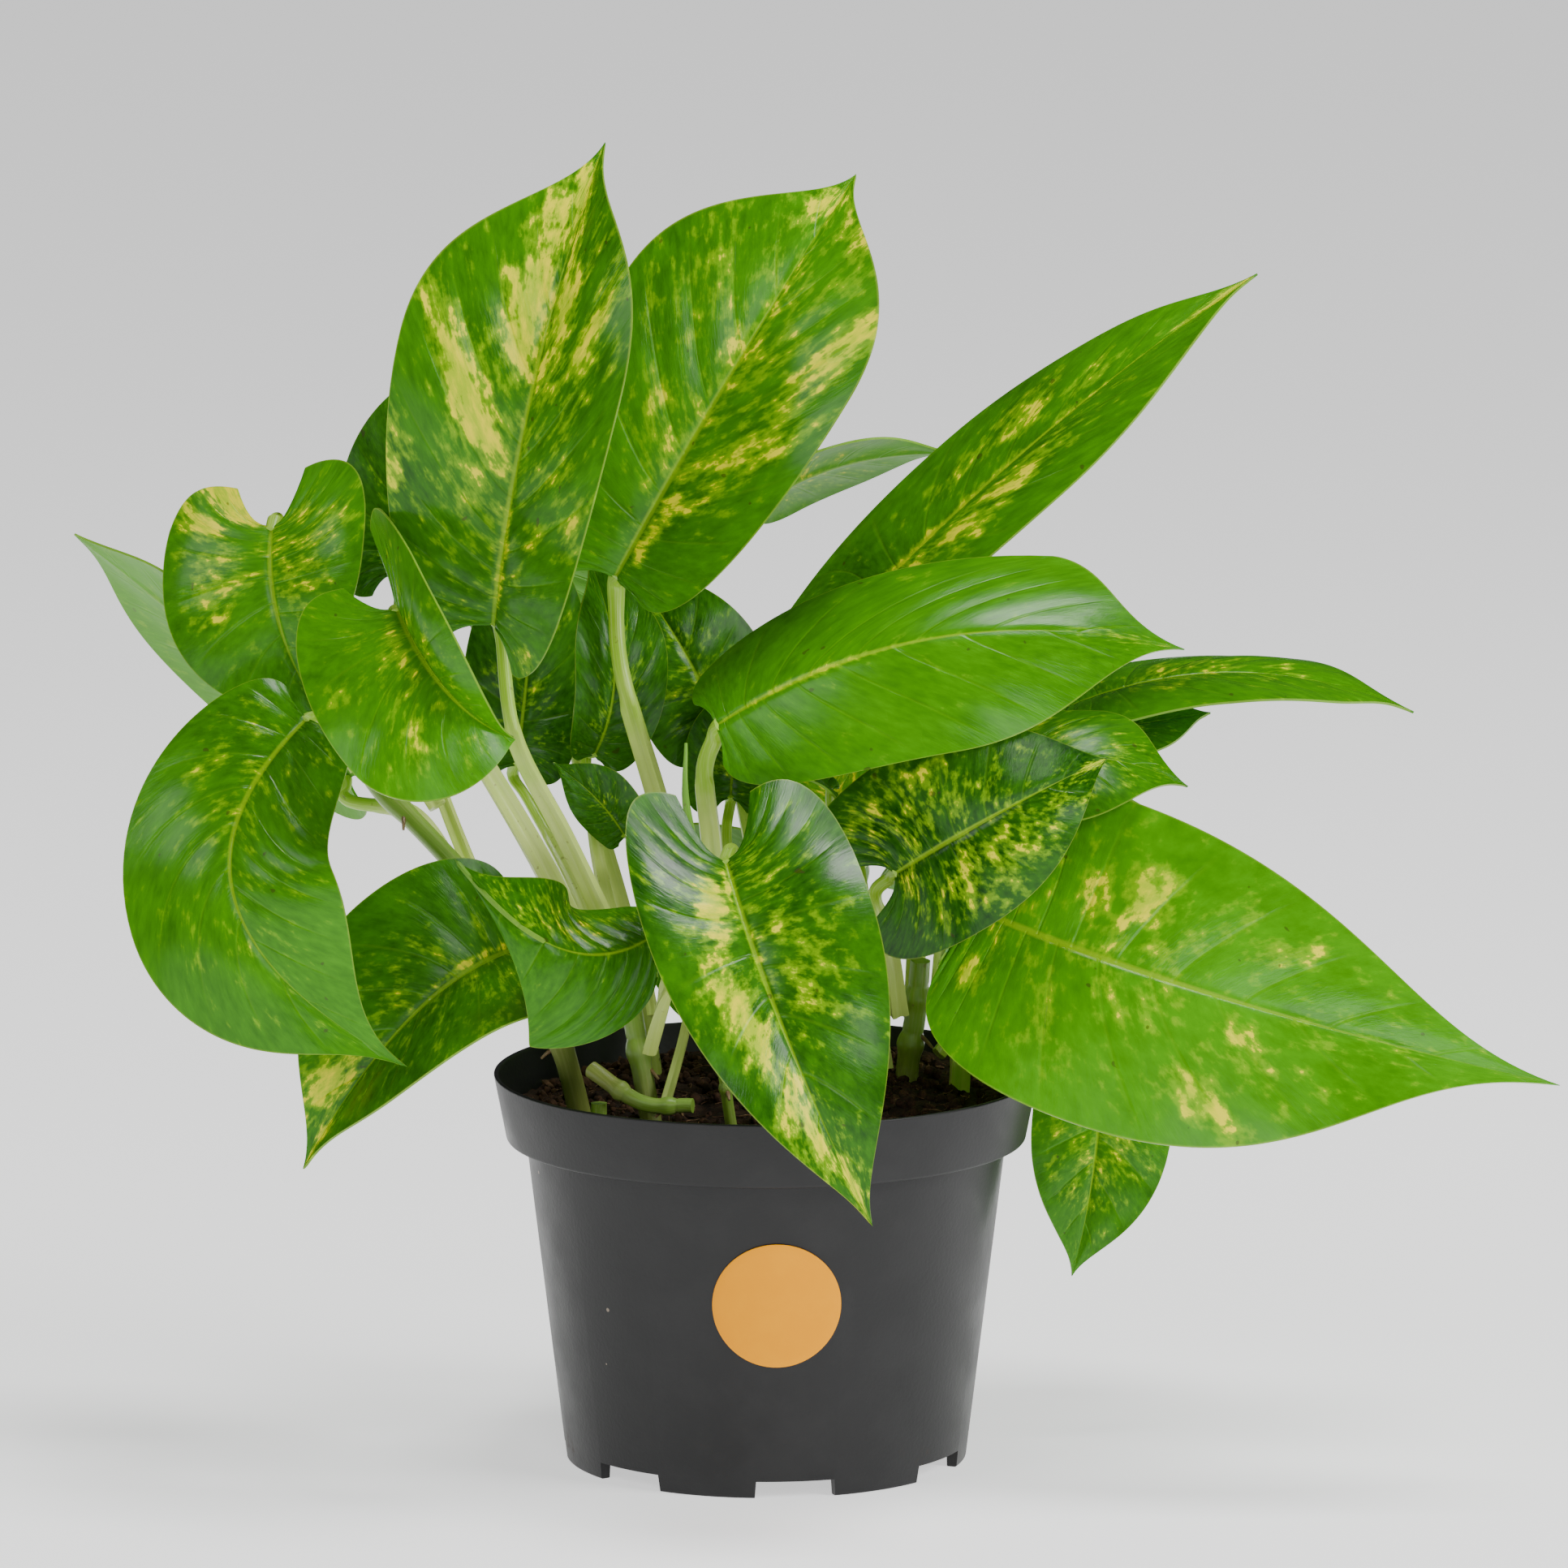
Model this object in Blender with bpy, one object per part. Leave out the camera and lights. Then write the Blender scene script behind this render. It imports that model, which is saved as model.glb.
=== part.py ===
"""Golden pothos growing in a six-inch nursery pot.

Frame: +Z up, +X to the right, -Y towards the front, origin at the centre of the
pot's foot on the surface that it stands on. Sizes and places are in millimetres
here and become metres (MM) when a mesh is made.
"""
import math

import bmesh
import bpy
import numpy as np

MM = 0.001
CLEARANCE = 0.3           # gap left between pieces that touch

# Pot
POT_HEIGHT = 109.0
WALL_RADIUS = 67.0        # outside, just under the rim band
BAND_STEP = 5.4           # how far the rim band stands out from the wall
RIM_FLARE = 3.6           # how much the band widens to its top edge
BAND_RADIUS = WALL_RADIUS + BAND_STEP
RIM_RADIUS = BAND_RADIUS + RIM_FLARE
BAND_HEIGHT = 18.5
FOOT_RADIUS = 56.0        # outside, at the surface
WALL = 1.4
FLOOR_HEIGHT = 5.0        # underside of the raised floor
PAD_RADIUS = 12.0         # middle of the floor, level with the foot
NOTCH_COUNT = 7
NOTCH_WIDTH = 22.0
NOTCH_HEIGHT = 4.8
NOTCH_ANGLE = 8.4         # degrees that the notches are turned from straight ahead
HOLE_RADIUS = 4.5
SEGMENTS = 40

# Soil
SOIL_DROP = 9.0           # soil edge below the rim
SOIL_MOUND = 5.0          # rise from the edge to the middle
SOIL_TILT = 3.5           # rise of the right and back edge over the middle

# Sticker
STICKER_RADIUS = 17.7
STICKER_THICKNESS = 0.5
STICKER_HEIGHT = 55.8     # centre above the surface
STICKER_OFFSET = 3.0      # centre to the right of the axis

# Plant
PLANTED_LEVEL = 105.0     # soil's top in the middle that the plant's places below are given for
PLANTED_RIM = 76.0        # radius of the rim that they are given for
RISE = POT_HEIGHT - SOIL_DROP + SOIL_MOUND - PLANTED_LEVEL
SPREAD = RIM_RADIUS / PLANTED_RIM
BLADE_THICKNESS = 0.8
LOBE_SPREAD = 0.33        # where the lobe's rear end lies, as a share of the half's width
STALK_RADIUS = (2.4, 1.8)     # at the vine and at the blade
SLIM = (1.9, 1.4)
THIN = (1.4, 1.0)
BLADE_ROWS = 7
BLADE_COLUMNS = 3

# Each leaf: base, a point on the midrib half way, and tip; the direction its upper
# face looks; then for its left and right half, seen from the face with the tip up:
# width, belly (where the widest place lies, as a share of the length), lobe (how far
# the heart's lobe reaches behind the base, as a share of the length), fold (degrees
# that the half folds up) and curl (degrees that it bends back down to its edge).
# shoulder and drip shape the outline before and after the belly. stalk is the route
# of the leaf's stalk from its vine or the soil.
LEAVES = {
    "leaf_tall_left": dict(
        base=(-75, -28, 239), mid=(-63, -40, 309), tip=(-44, -14, 371), face=(-0.4, -0.9, 0.1),
        width=(39, 31), belly=(0.53, 0.5), lobe=(0.04, 0.06), fold=(22, 26), curl=(10, 20),
        shoulder=(0.3, 0.4), stalk=((-40, -27, 148), (-55, -28, 180), (-69, -30, 209))),
    "leaf_tall_right": dict(
        base=(-42, 0, 248), mid=(-6, 2, 311), tip=(25, 22, 358), face=(-0.4, -0.9, 0.15),
        width=(40, 36), belly=(0.5, 0.52), lobe=(0.04, 0.01), fold=(22, 14), curl=(20, 10),
        shoulder=(0.5, 0.42), stalk=((-20, -15, 140), (-24, -12, 165), (-30, -8, 188), (-40, -1, 222)), stalk_radius=(2.8, 2.1)),
    "leaf_long_right": dict(
        base=(20, 20, 231), mid=(77, 23, 285), tip=(137, 40, 328), face=(-0.62, -0.5, 0.6),
        width=(27, 26), belly=(0.4, 0.45), lobe=(0.12, 0.05), fold=(15, 15), curl=(30, 30),
        stalk=((9, 28, 159), (12, 27, 188), (14, 18, 211))),
    "leaf_saddle": dict(
        base=(-14, -25, 211), mid=(47, -34, 237), tip=(115, -30, 233), face=(-0.1, -0.75, 0.65),
        width=(34, 33), belly=(0.75, 0.5), lobe=(0.03, 0.02), fold=(-8, -8), curl=(25, 20),
        shoulder=(0.72, 0.4), stalk=((-14, -17, 156), (-15, -19, 176), (-17, -18, 196)),
        stalk_radius=(2.8, 2.3)),
    "leaf_far_right": dict(
        base=(84, 32, 207), mid=(133, 36, 216), tip=(182, 40, 204), face=(0.0, -0.15, 0.97),
        width=(24, 24), belly=(0.45, 0.45), lobe=(0.1, 0.1), fold=(6, 6), curl=(20, 20),
        stalk=((16, 29, 148), (40, 36, 180), (68, 34, 198))),
    "leaf_under_right": dict(
        base=(75, 40, 196), mid=(102, 42, 200), tip=(125, 45, 203), face=(0.1, -0.3, 0.9),
        width=(17, 17), belly=(0.4, 0.4), lobe=(0.08, 0.08), fold=(5, 5), curl=(20, 20),
        stalk=((48, 8, 132), (52, 24, 165), (62, 36, 186)), stalk_radius=SLIM),
    "leaf_behind_speckled": dict(
        base=(53, -7, 189), mid=(84, -11, 200), tip=(117, -8, 191), face=(0.0, -0.6, 0.8),
        width=(20, 24), belly=(0.6, 0.4), lobe=(0.08, 0.08), fold=(5, 5), curl=(20, 20),
        stalk=((43, 2, 144), (46, 0, 162), (48, -2, 177)), stalk_radius=SLIM),
    "leaf_speckled": dict(
        base=(35, -35, 171), mid=(66, -44, 191), tip=(94, -38, 204), face=(0.1, -0.9, 0.3),
        width=(29, 26), belly=(0.25, 0.2), lobe=(0.2, 0.16), fold=(10, 10), curl=(25, 25),
        stalk=((37, -2, 126), (34, -14, 148), (30, -24, 163))),
    "leaf_large_right": dict(
        base=(57, -25, 160), mid=(126, -43, 138), tip=(218, -50, 115), face=(0.1, -0.9, 0.4),
        width=(45, 47), belly=(0.22, 0.33), lobe=(0.07, 0.0), fold=(5, 5), curl=(10, 10),
        drip=(0.24, 0.26), stalk=((53, -4, 92), (54, -4, 115), (51, -8, 142)), stalk_radius=(2.8, 2.1)),
    "leaf_front_heart": dict(
        base=(-11, -62, 180), mid=(5, -96, 139), tip=(29, -100, 86), face=(0.0, -0.9, 0.3),
        width=(35, 28), belly=(0.22, 0.15), lobe=(0.17, 0.2), fold=(15, 25), curl=(30, 20),
        stalk=((-6, -21, 136), (-6, -30, 158), (-9, -45, 179))),
    "leaf_hanging_right": dict(
        base=(94, 24, 107), mid=(92, 19, 77), tip=(86, 16, 47), face=(0.1, -0.9, 0.1),
        width=(21, 19), belly=(0.3, 0.3), lobe=(0.1, 0.1), fold=(10, 10), curl=(20, 20),
        stalk=((48, 4, 113), (66, 17, 131), (86, 30, 123)), stalk_radius=SLIM),
    "leaf_two_lobed": dict(
        base=(-137, 4, 262), mid=(-134, -6, 234), tip=(-120, -1, 206), face=(-0.2, -0.9, 0.3),
        width=(30, 32), belly=(0.05, 0.25), lobe=(0.24, 0.17), fold=(30, 5), curl=(30, 20),
        drip=(0.35, 0.16), stalk=((-91, -6, 185), (-108, 4, 210), (-134, 17, 248))),
    "leaf_folded_left": dict(
        base=(-101, -40, 246), mid=(-86, -64, 226), tip=(-68, -61, 213), face=(-0.1, -0.8, 0.5),
        width=(20, 34), belly=(0.2, 0.5), lobe=(0.28, 0.16), fold=(82, 5), curl=(40, 15),
        drip=(0.3, 0.1), stalk=((-45, -32, 138), (-62, -30, 174), (-84, -29, 212), (-98, -24, 237)),
        stalk_radius=(3.3, 2.2)),
    "leaf_far_left": dict(
        base=(-116, 24, 188), mid=(-157, 28, 227), tip=(-193, 31, 256), face=(0.35, 0.45, 0.7),
        width=(28, 30), belly=(0.4, 0.4), lobe=(0.08, 0.08), fold=(5, 5), curl=(20, 20),
        stalk=((-86, -4, 166), (-98, 8, 180))),
    "leaf_drooping": dict(
        base=(-126, -30, 214), mid=(-145, -58, 168), tip=(-98, -60, 122), face=(-0.35, -0.9, 0.2),
        width=(30, 32), belly=(0.55, 0.5), lobe=(0.02, 0.02), fold=(10, 10), curl=(20, 20),
        shoulder=(0.4, 0.4), stalk=((-113, -3, 196), (-119, -8, 206))),
    "leaf_low_left": dict(
        base=(-67, -30, 150), mid=(-98, -36, 131), tip=(-128, -33, 88), face=(-0.65, -0.7, 0.15),
        width=(32, 33), belly=(0.35, 0.4), lobe=(0.06, 0.0), fold=(32, 30), curl=(10, 10),
        stalk=((-56, -27, 126), (-54, -31, 142)), stalk_radius=SLIM),
    "leaf_flap": dict(
        base=(-29, -49, 158), mid=(-56, -64, 156), tip=(-85, -54, 179), face=(0.0, -0.35, 0.9),
        width=(29, 24), belly=(0.48, 0.6), lobe=(-0.08, 0.05), fold=(-62, 10), curl=(20, 10),
        shoulder=(0.04, 0.5), drip=(0.5, 0.16), stalk=((-32, -38, 122), (-27, -46, 142)), stalk_radius=SLIM),
    "leaf_small_front": dict(
        base=(-21, -32, 151), mid=(-12, -38, 140), tip=(-3, -44, 123), face=(-0.1, -0.9, 0.3),
        width=(12, 15), belly=(0.3, 0.35), lobe=(0.1, 0.2), fold=(8, 8), curl=(15, 15),
        stalk=((-28, -37, 106), (-22, -31, 128), (-21, -30, 143)), stalk_radius=THIN),
    "leaf_dark_back_left": dict(
        base=(-104, 30, 244), mid=(-101, 34, 274), tip=(-95, 42, 304), face=(-0.3, -0.9, 0.1),
        width=(18, 16), belly=(0.35, 0.35), lobe=(0.1, 0.1), fold=(10, 10), curl=(15, 15),
        stalk=((-78, -7, 158), (-92, 14, 190), (-102, 28, 226)), stalk_radius=SLIM),
    "leaf_dark_centre_left": dict(
        base=(-70, 30, 190), mid=(-66, 32, 226), tip=(-64, 38, 262), face=(0.1, -0.9, 0.1),
        width=(18, 17), belly=(0.35, 0.35), lobe=(0.05, 0.05), fold=(10, 10), curl=(15, 15),
        stalk=((-40, -21, 126), (-52, 0, 158), (-66, 26, 180)), stalk_radius=SLIM),
    "leaf_upright_centre": dict(
        base=(-48, 10, 196), mid=(-42, 7, 223), tip=(-50, 20, 252), face=(0.3, -0.9, 0.1),
        width=(12, 15), belly=(0.5, 0.5), lobe=(0.03, 0.03), fold=(15, 15), curl=(15, 15),
        shoulder=(0.4, 0.4), stalk=((-38, -20, 138), (-46, -4, 166), (-49, 9, 184)), stalk_radius=SLIM),
    "leaf_dark_centre": dict(
        base=(-13, 32, 200), mid=(-24, 33, 224), tip=(-41, 42, 247), face=(0.1, -0.9, 0.2),
        width=(20, 20), belly=(0.3, 0.3), lobe=(0.12, 0.12), fold=(10, 10), curl=(15, 15),
        stalk=((1, 27, 138), (-4, 33, 165), (-9, 37, 188)), stalk_radius=SLIM),
    "leaf_dark_round": dict(
        base=(-10, 28, 181), mid=(-8, 25, 199), tip=(-3, 30, 217), face=(0.0, -0.9, 0.2),
        width=(14, 14), belly=(0.35, 0.35), lobe=(0.1, 0.1), fold=(10, 10), curl=(15, 15),
        stalk=((2, 21, 120), (-6, 23, 145), (-11, 28, 168)), stalk_radius=SLIM),
    "leaf_small_left": dict(
        base=(-39, -7, 176), mid=(-47, -11, 188), tip=(-59, -10, 198), face=(-0.3, -0.8, 0.3),
        width=(8, 10), belly=(0.4, 0.4), lobe=(0.05, 0.05), fold=(10, 10), curl=(10, 10),
        stalk=((-31, -27, 130), (-35, -16, 152), (-32, -8, 168)), stalk_radius=THIN),
    "leaf_edge_on": dict(
        base=(-4, 60, 259), mid=(22, 58, 272), tip=(53, 58, 275), face=(-0.25, 0.5, 0.83),
        width=(18, 18), belly=(0.3, 0.3), lobe=(0.05, 0.05), fold=(10, 10), curl=(25, 25),
        stalk=((9, 35, 146), (-8, 48, 195), (-20, 57, 222), (-17, 60, 244)), stalk_radius=SLIM),
    "leaf_backlit": dict(
        base=(24, 9, 177), mid=(15, 8, 197), tip=(7, 12, 217), face=(0.2, -0.9, 0.1),
        width=(12, 12), belly=(0.4, 0.4), lobe=(0.05, 0.05), fold=(10, 10), curl=(15, 15),
        stalk=((34, 9, 108), (30, 10, 135), (27, 10, 162)), stalk_radius=THIN),
    "leaf_tiny": dict(
        base=(19, -19, 192), mid=(9, -21, 198), tip=(-2, -21, 196), face=(0.1, -0.3, 0.95),
        width=(6, 6), belly=(0.4, 0.4), lobe=(0.05, 0.05), fold=(10, 10), curl=(10, 10),
        stalk=((-4, -12, 128), (8, -14, 155), (21, -15, 180)), stalk_radius=THIN),
    "leaf_back_low": dict(
        base=(2, 72, 158), mid=(-4, 104, 130), tip=(-8, 112, 78), face=(0.0, 0.9, 0.35),
        width=(30, 30), belly=(0.25, 0.25), lobe=(0.15, 0.15), fold=(15, 15), curl=(25, 25),
        stalk=((7, 33, 112), (5, 44, 140), (3, 58, 156))),
    "leaf_back_right": dict(
        base=(50, 55, 165), mid=(92, 76, 160), tip=(122, 84, 132), face=(0.3, 0.7, 0.6),
        width=(30, 30), belly=(0.3, 0.3), lobe=(0.12, 0.12), fold=(10, 10), curl=(25, 25),
        stalk=((41, 13, 122), (42, 30, 145), (42, 46, 160))),
    "leaf_back_tall": dict(
        base=(-62, 55, 235), mid=(-70, 72, 282), tip=(-72, 66, 330), face=(-0.2, 0.95, 0.1),
        width=(28, 28), belly=(0.3, 0.3), lobe=(0.12, 0.12), fold=(12, 12), curl=(25, 25),
        stalk=((-30, 22, 92), (-38, 30, 140), (-54, 40, 195), (-60, 46, 224))),
    "leaf_back_middle": dict(
        base=(25, 55, 205), mid=(58, 78, 224), tip=(88, 98, 222), face=(0.0, 0.6, 0.8),
        width=(24, 24), belly=(0.3, 0.3), lobe=(0.12, 0.12), fold=(8, 8), curl=(25, 25),
        stalk=((15, 33, 134), (16, 42, 170), (19, 50, 194))),
}


def bezier(points, t):
    """A point on the cubic Bezier curve through four control points."""
    p0, p1, p2, p3 = (np.asarray(p, float) for p in points)
    u = 1.0 - t
    return u ** 3 * p0 + 3 * u * u * t * p1 + 3 * u * t * t * p2 + t ** 3 * p3


def unit(vector):
    vector = np.asarray(vector, float)
    return vector / np.linalg.norm(vector)


def planted(points):
    """The points as the plant stands: on the soil, and spread out over the pot's rim."""
    return [np.asarray(p, float) * (SPREAD, SPREAD, 1.0) + (0.0, 0.0, RISE) for p in points]


def outline(t, belly, lobe, shoulder, drip):
    """Half of the heart's edge: from the lobe's rear end, past the belly, to the drip tip."""
    split = 0.5
    if t <= split:
        rear = -1.15 * lobe - 0.01
        curve = ((-lobe, LOBE_SPREAD), (rear, LOBE_SPREAD + 0.3), (belly - shoulder, 1.0), (belly, 1.0))
        return bezier(curve, t / split)
    full = min(belly + 0.62 * (1 - belly), 1.0 - drip)
    curve = ((belly, 1.0), (full, 1.0), (1.0 - drip, 0.12), (1.0, 0.0))
    return bezier(curve, (t - split) / (1 - split))


def vein_foot(t):
    """Where on the midrib the vein leaves that reaches the edge at t."""
    return t ** 2.2


class Blade:
    """The curved middle surface of one leaf blade."""

    def __init__(self, base, mid, tip, face, width, belly, fold, curl, lobe,
                 shoulder=None, drip=(0.16, 0.16), stalk=(), stalk_radius=STALK_RADIUS):
        self.start, middle, self.end = planted((base, mid, tip))
        self.bend = 2.0 * middle - 0.5 * (self.start + self.end)
        self.face = unit(face)
        self.width, self.belly, self.fold, self.curl = width, belly, fold, curl
        self.lobe, self.drip = lobe, drip
        self.stalk, self.stalk_radius = planted(stalk), stalk_radius
        self.shoulder = shoulder or (belly[0] + 1.2 * lobe[0], belly[1] + 1.2 * lobe[1])

    def tangent(self, a):
        a = min(max(a, 0.0), 1.0)
        return 2 * (1 - a) * (self.bend - self.start) + 2 * a * (self.end - self.bend)

    def midrib(self, a):
        if a < 0.0:
            return self.start + a * self.tangent(0.0)
        u = 1.0 - a
        return u * u * self.start + 2 * u * a * self.bend + a * a * self.end

    def frame(self, a):
        """Along, across (to the right) and up, at a place along the midrib."""
        along = unit(self.tangent(a))
        up = unit(self.face - along * np.dot(self.face, along))
        return along, np.cross(along, up), up

    def point(self, side, t, s):
        """side is 0 for the left half and 1 for the right; s runs from midrib to edge."""
        edge = outline(t, self.belly[side], self.lobe[side], self.shoulder[side], self.drip[side])
        sweep = 1.3 if edge[0] > vein_foot(t) else 2.4
        a = vein_foot(t) + (edge[0] - vein_foot(t)) * s ** sweep
        distance = edge[1] * s * self.width[side]
        _, across, up = self.frame(a)
        fold = math.radians(self.fold[side])
        curl = math.radians(self.curl[side]) + 1e-6
        bend = curl * distance / self.width[side]
        reach = self.width[side] / curl * (math.sin(fold) - math.sin(fold - bend))
        rise = self.width[side] / curl * (math.cos(fold - bend) - math.cos(fold))
        return self.midrib(a) + across * reach * (2 * side - 1) + up * rise

    def stalk_route(self):
        """The stalk's points; it comes from below and ends inside the foot of the midrib."""
        along, _, up = self.frame(0.0)
        arrive = unit(along + 0.8 * up)
        end = self.start + along * 1.5 - up * 0.6 * self.stalk_radius[1]
        return [*self.stalk, end - arrive * 7.0, end]


# Vines and other stems: route, then radius at the lower and upper end
VINES = {
    "vine_front": (((-30, -34, 92), (-34, -31, 115), (-39, -27, 144)), (3.0, 2.8)),
    "vine_centre": (((-6, -8, 92), (-9, -12, 125), (-13, -16, 152)), (3.2, 2.8)),
    "vine_right": (((38, 10, 92), (40, 6, 112), (42, 4, 126), (43, 2, 140)), (3.4, 2.8)),
    "vine_left": (((-50, -12, 92), (-56, -18, 118), (-64, -20, 138), (-82, -14, 165), (-110, -3, 193)),
                  (3.2, 2.6)),
    "vine_back": (((6, 24, 92), (8, 26, 130), (9, 28, 155)), (3.2, 2.8)),
}
LYING_STEM = (((-48, -38, 117), (-34, -50, 110), (-20, -54, 110)), (2.4, 2.0))
STUBS = {
    "stub_left": (((-46, -40, 93), (-46, -40, 108)), (2.2, 2.2)),
    "stub_middle": (((-8, -42, 92), (-12, -46, 120)), (1.7, 1.5)),
    "stub_right": (((20, -30, 92), (23, -33, 110)), (1.8, 1.6)),
}
SHOOT = (((-18, -21, 146), (-18, -25, 165), (-22, -26, 190), (-22, -25, 206)), (2.4, 0.4))


def smooth_route(points, steps=2):
    """A Catmull-Rom curve through the points."""
    points = [np.asarray(p, float) for p in points]
    padded = [2 * points[0] - points[1], *points, 2 * points[-1] - points[-2]]
    route = []
    for before, start, end, after in zip(padded, padded[1:], padded[2:], padded[3:]):
        for t in (i / steps for i in range(steps)):
            route.append(0.5 * (2 * start + (end - before) * t
                                + (2 * before - 5 * start + 4 * end - after) * t * t
                                + (3 * start - before - 3 * end + after) * t ** 3))
    return [*route, points[-1]]


def soil_height(x, y):
    """The soil's top: a low mound that rises towards the right and the back."""
    share = min(1.0, math.hypot(x, y) / WALL_RADIUS)
    slope = SOIL_TILT * (x + y) / (WALL_RADIUS * math.sqrt(2))
    return POT_HEIGHT - SOIL_DROP + SOIL_MOUND * (1 - share ** 2) + slope


# ---- Blender objects ----

def material(name, colour, roughness):
    surface = bpy.data.materials.new(name)
    surface.use_nodes = True
    shader = surface.node_tree.nodes["Principled BSDF"]
    shader.inputs["Base Color"].default_value = (*colour, 1.0)
    shader.inputs["Roughness"].default_value = roughness
    return surface


def add_object(name, bm, surface):
    """Make a named object from a bmesh that is in millimetres."""
    bmesh.ops.scale(bm, vec=(MM, MM, MM), verts=bm.verts)
    bmesh.ops.recalc_face_normals(bm, faces=bm.faces)
    mesh = bpy.data.meshes.new(name)
    bm.to_mesh(mesh)
    bm.free()
    mesh.shade_smooth()
    mesh.set_sharp_from_angle(angle=math.radians(40))
    if surface:
        mesh.materials.append(surface)
    thing = bpy.data.objects.new(name, mesh)
    bpy.context.scene.collection.objects.link(thing)
    return thing


def combine(target, tool, operation):
    """Join the tool to the target or cut it out, and leave the tool as a guide."""
    tool.hide_render = True
    tool.display_type = "WIRE"
    modifier = target.modifiers.new(operation.lower() + "_" + tool.name, "BOOLEAN")
    modifier.operation = operation
    modifier.solver = "EXACT"
    modifier.object = tool


def cut(target, tool):
    combine(target, tool, "DIFFERENCE")


def add_tube(bm, points, radii, sides=8, swell=0.0):
    """A closed round tube along the points, from one radius to the other."""
    route = smooth_route(points)
    ahead = [route[i + 1] - route[i] for i in range(len(route) - 1)]
    tangents = [unit(ahead[0]), *(unit(a) + unit(b) for a, b in zip(ahead, ahead[1:])), unit(ahead[-1])]
    side = np.cross(tangents[0], (0.31, 0.95, 0.05))
    rings = []
    for number, (centre, tangent) in enumerate(zip(route, tangents)):
        tangent = unit(tangent)
        side = unit(side - tangent * np.dot(side, tangent))
        other = np.cross(tangent, side)
        share = number / (len(route) - 1)
        radius = radii[0] + (radii[1] - radii[0]) * share + swell
        rings.append([bm.verts.new(centre + radius * (side * math.cos(a) + other * math.sin(a)))
                      for a in (2 * math.pi * k / sides for k in range(sides))])
    for low, high in zip(rings, rings[1:]):
        for k in range(sides):
            j = (k + 1) % sides
            bm.faces.new((low[k], low[j], high[j], high[k]))
    bm.faces.new(rings[0])
    bm.faces.new(rings[-1])


def tube_object(name, tubes, surface, swell=0.0):
    bm = bmesh.new()
    for points, radii in tubes:
        add_tube(bm, points, radii, swell=swell)
    return add_object(name, bm, surface)


def add_turned(bm, profile, segments=SEGMENTS):
    """A solid turned round the Z axis; the profile runs from axis to axis or is closed."""
    on_axis = profile[0][0] == 0.0
    rings = []
    for radius, height in profile:
        if radius == 0.0:
            rings.append([bm.verts.new((0, 0, height))] * segments)
            continue
        angles = (2 * math.pi * k / segments for k in range(segments))
        rings.append([bm.verts.new((radius * math.cos(a), radius * math.sin(a), height)) for a in angles])
    pairs = list(zip(rings, rings[1:]))
    if not on_axis:
        pairs.append((rings[-1], rings[0]))
    for low, high in pairs:
        for k in range(segments):
            j = (k + 1) % segments
            corners = list(dict.fromkeys((low[k], low[j], high[j], high[k])))
            bm.faces.new(corners)


def inner_radius(height):
    """Inside radius of the pot's tapered wall."""
    share = (height - FLOOR_HEIGHT) / (POT_HEIGHT - BAND_HEIGHT - FLOOR_HEIGHT)
    return FOOT_RADIUS - WALL + (WALL_RADIUS - FOOT_RADIUS) * min(share, 1.0)


def build_pot(surface):
    band_foot = POT_HEIGHT - BAND_HEIGHT
    floor_top = FLOOR_HEIGHT + WALL
    profile = (
        (0.0, 0.0), (PAD_RADIUS, 0.0), (PAD_RADIUS + WALL, FLOOR_HEIGHT),
        (FOOT_RADIUS - 2 * WALL, FLOOR_HEIGHT), (FOOT_RADIUS - 2 * WALL, 0.0), (FOOT_RADIUS, 0.0),
        (WALL_RADIUS, band_foot), (BAND_RADIUS - 1.0, band_foot), (BAND_RADIUS, band_foot + 1.0),
        (RIM_RADIUS, POT_HEIGHT - 1.2), (RIM_RADIUS - 0.5, POT_HEIGHT), (RIM_RADIUS - WALL, POT_HEIGHT),
        (BAND_RADIUS - WALL, band_foot + WALL + 1.0), (WALL_RADIUS - WALL, band_foot + WALL),
        (WALL_RADIUS - WALL, band_foot - 1.0), (inner_radius(floor_top), floor_top), (0.0, floor_top),
    )
    bm = bmesh.new()
    add_turned(bm, profile)
    pot = add_object("pot", bm, surface)
    for number in range(NOTCH_COUNT):
        angle = math.radians(NOTCH_ANGLE - 90) + 2 * math.pi * number / NOTCH_COUNT
        ahead = np.array((math.cos(angle), math.sin(angle), 0.0))
        aside = np.array((-ahead[1], ahead[0], 0.0))
        bm = bmesh.new()
        inner, outer = FOOT_RADIUS - 3 * WALL - 1.0, FOOT_RADIUS + 4.0
        corners = [ahead * r + aside * w * NOTCH_WIDTH / 2 + np.array((0, 0, z))
                   for z in (-1.0, NOTCH_HEIGHT) for r, w in ((inner, -1), (outer, -1), (outer, 1), (inner, 1))]
        verts = [bm.verts.new(c) for c in corners]
        for face in ((0, 3, 2, 1), (4, 5, 6, 7), (0, 1, 5, 4), (1, 2, 6, 5), (2, 3, 7, 6), (3, 0, 4, 7)):
            bm.faces.new([verts[k] for k in face])
        cut(pot, add_object(f"cutter_notch_{number}", bm, None))
        bm = bmesh.new()
        centre = ahead * (FOOT_RADIUS - 3 * WALL - HOLE_RADIUS - 2.0)
        points = (centre + np.array((0, 0, FLOOR_HEIGHT - 2)), centre + np.array((0, 0, floor_top + 2)))
        add_tube(bm, points, (HOLE_RADIUS, HOLE_RADIUS), sides=12)
        cut(pot, add_object(f"cutter_hole_{number}", bm, None))
    return pot


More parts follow.
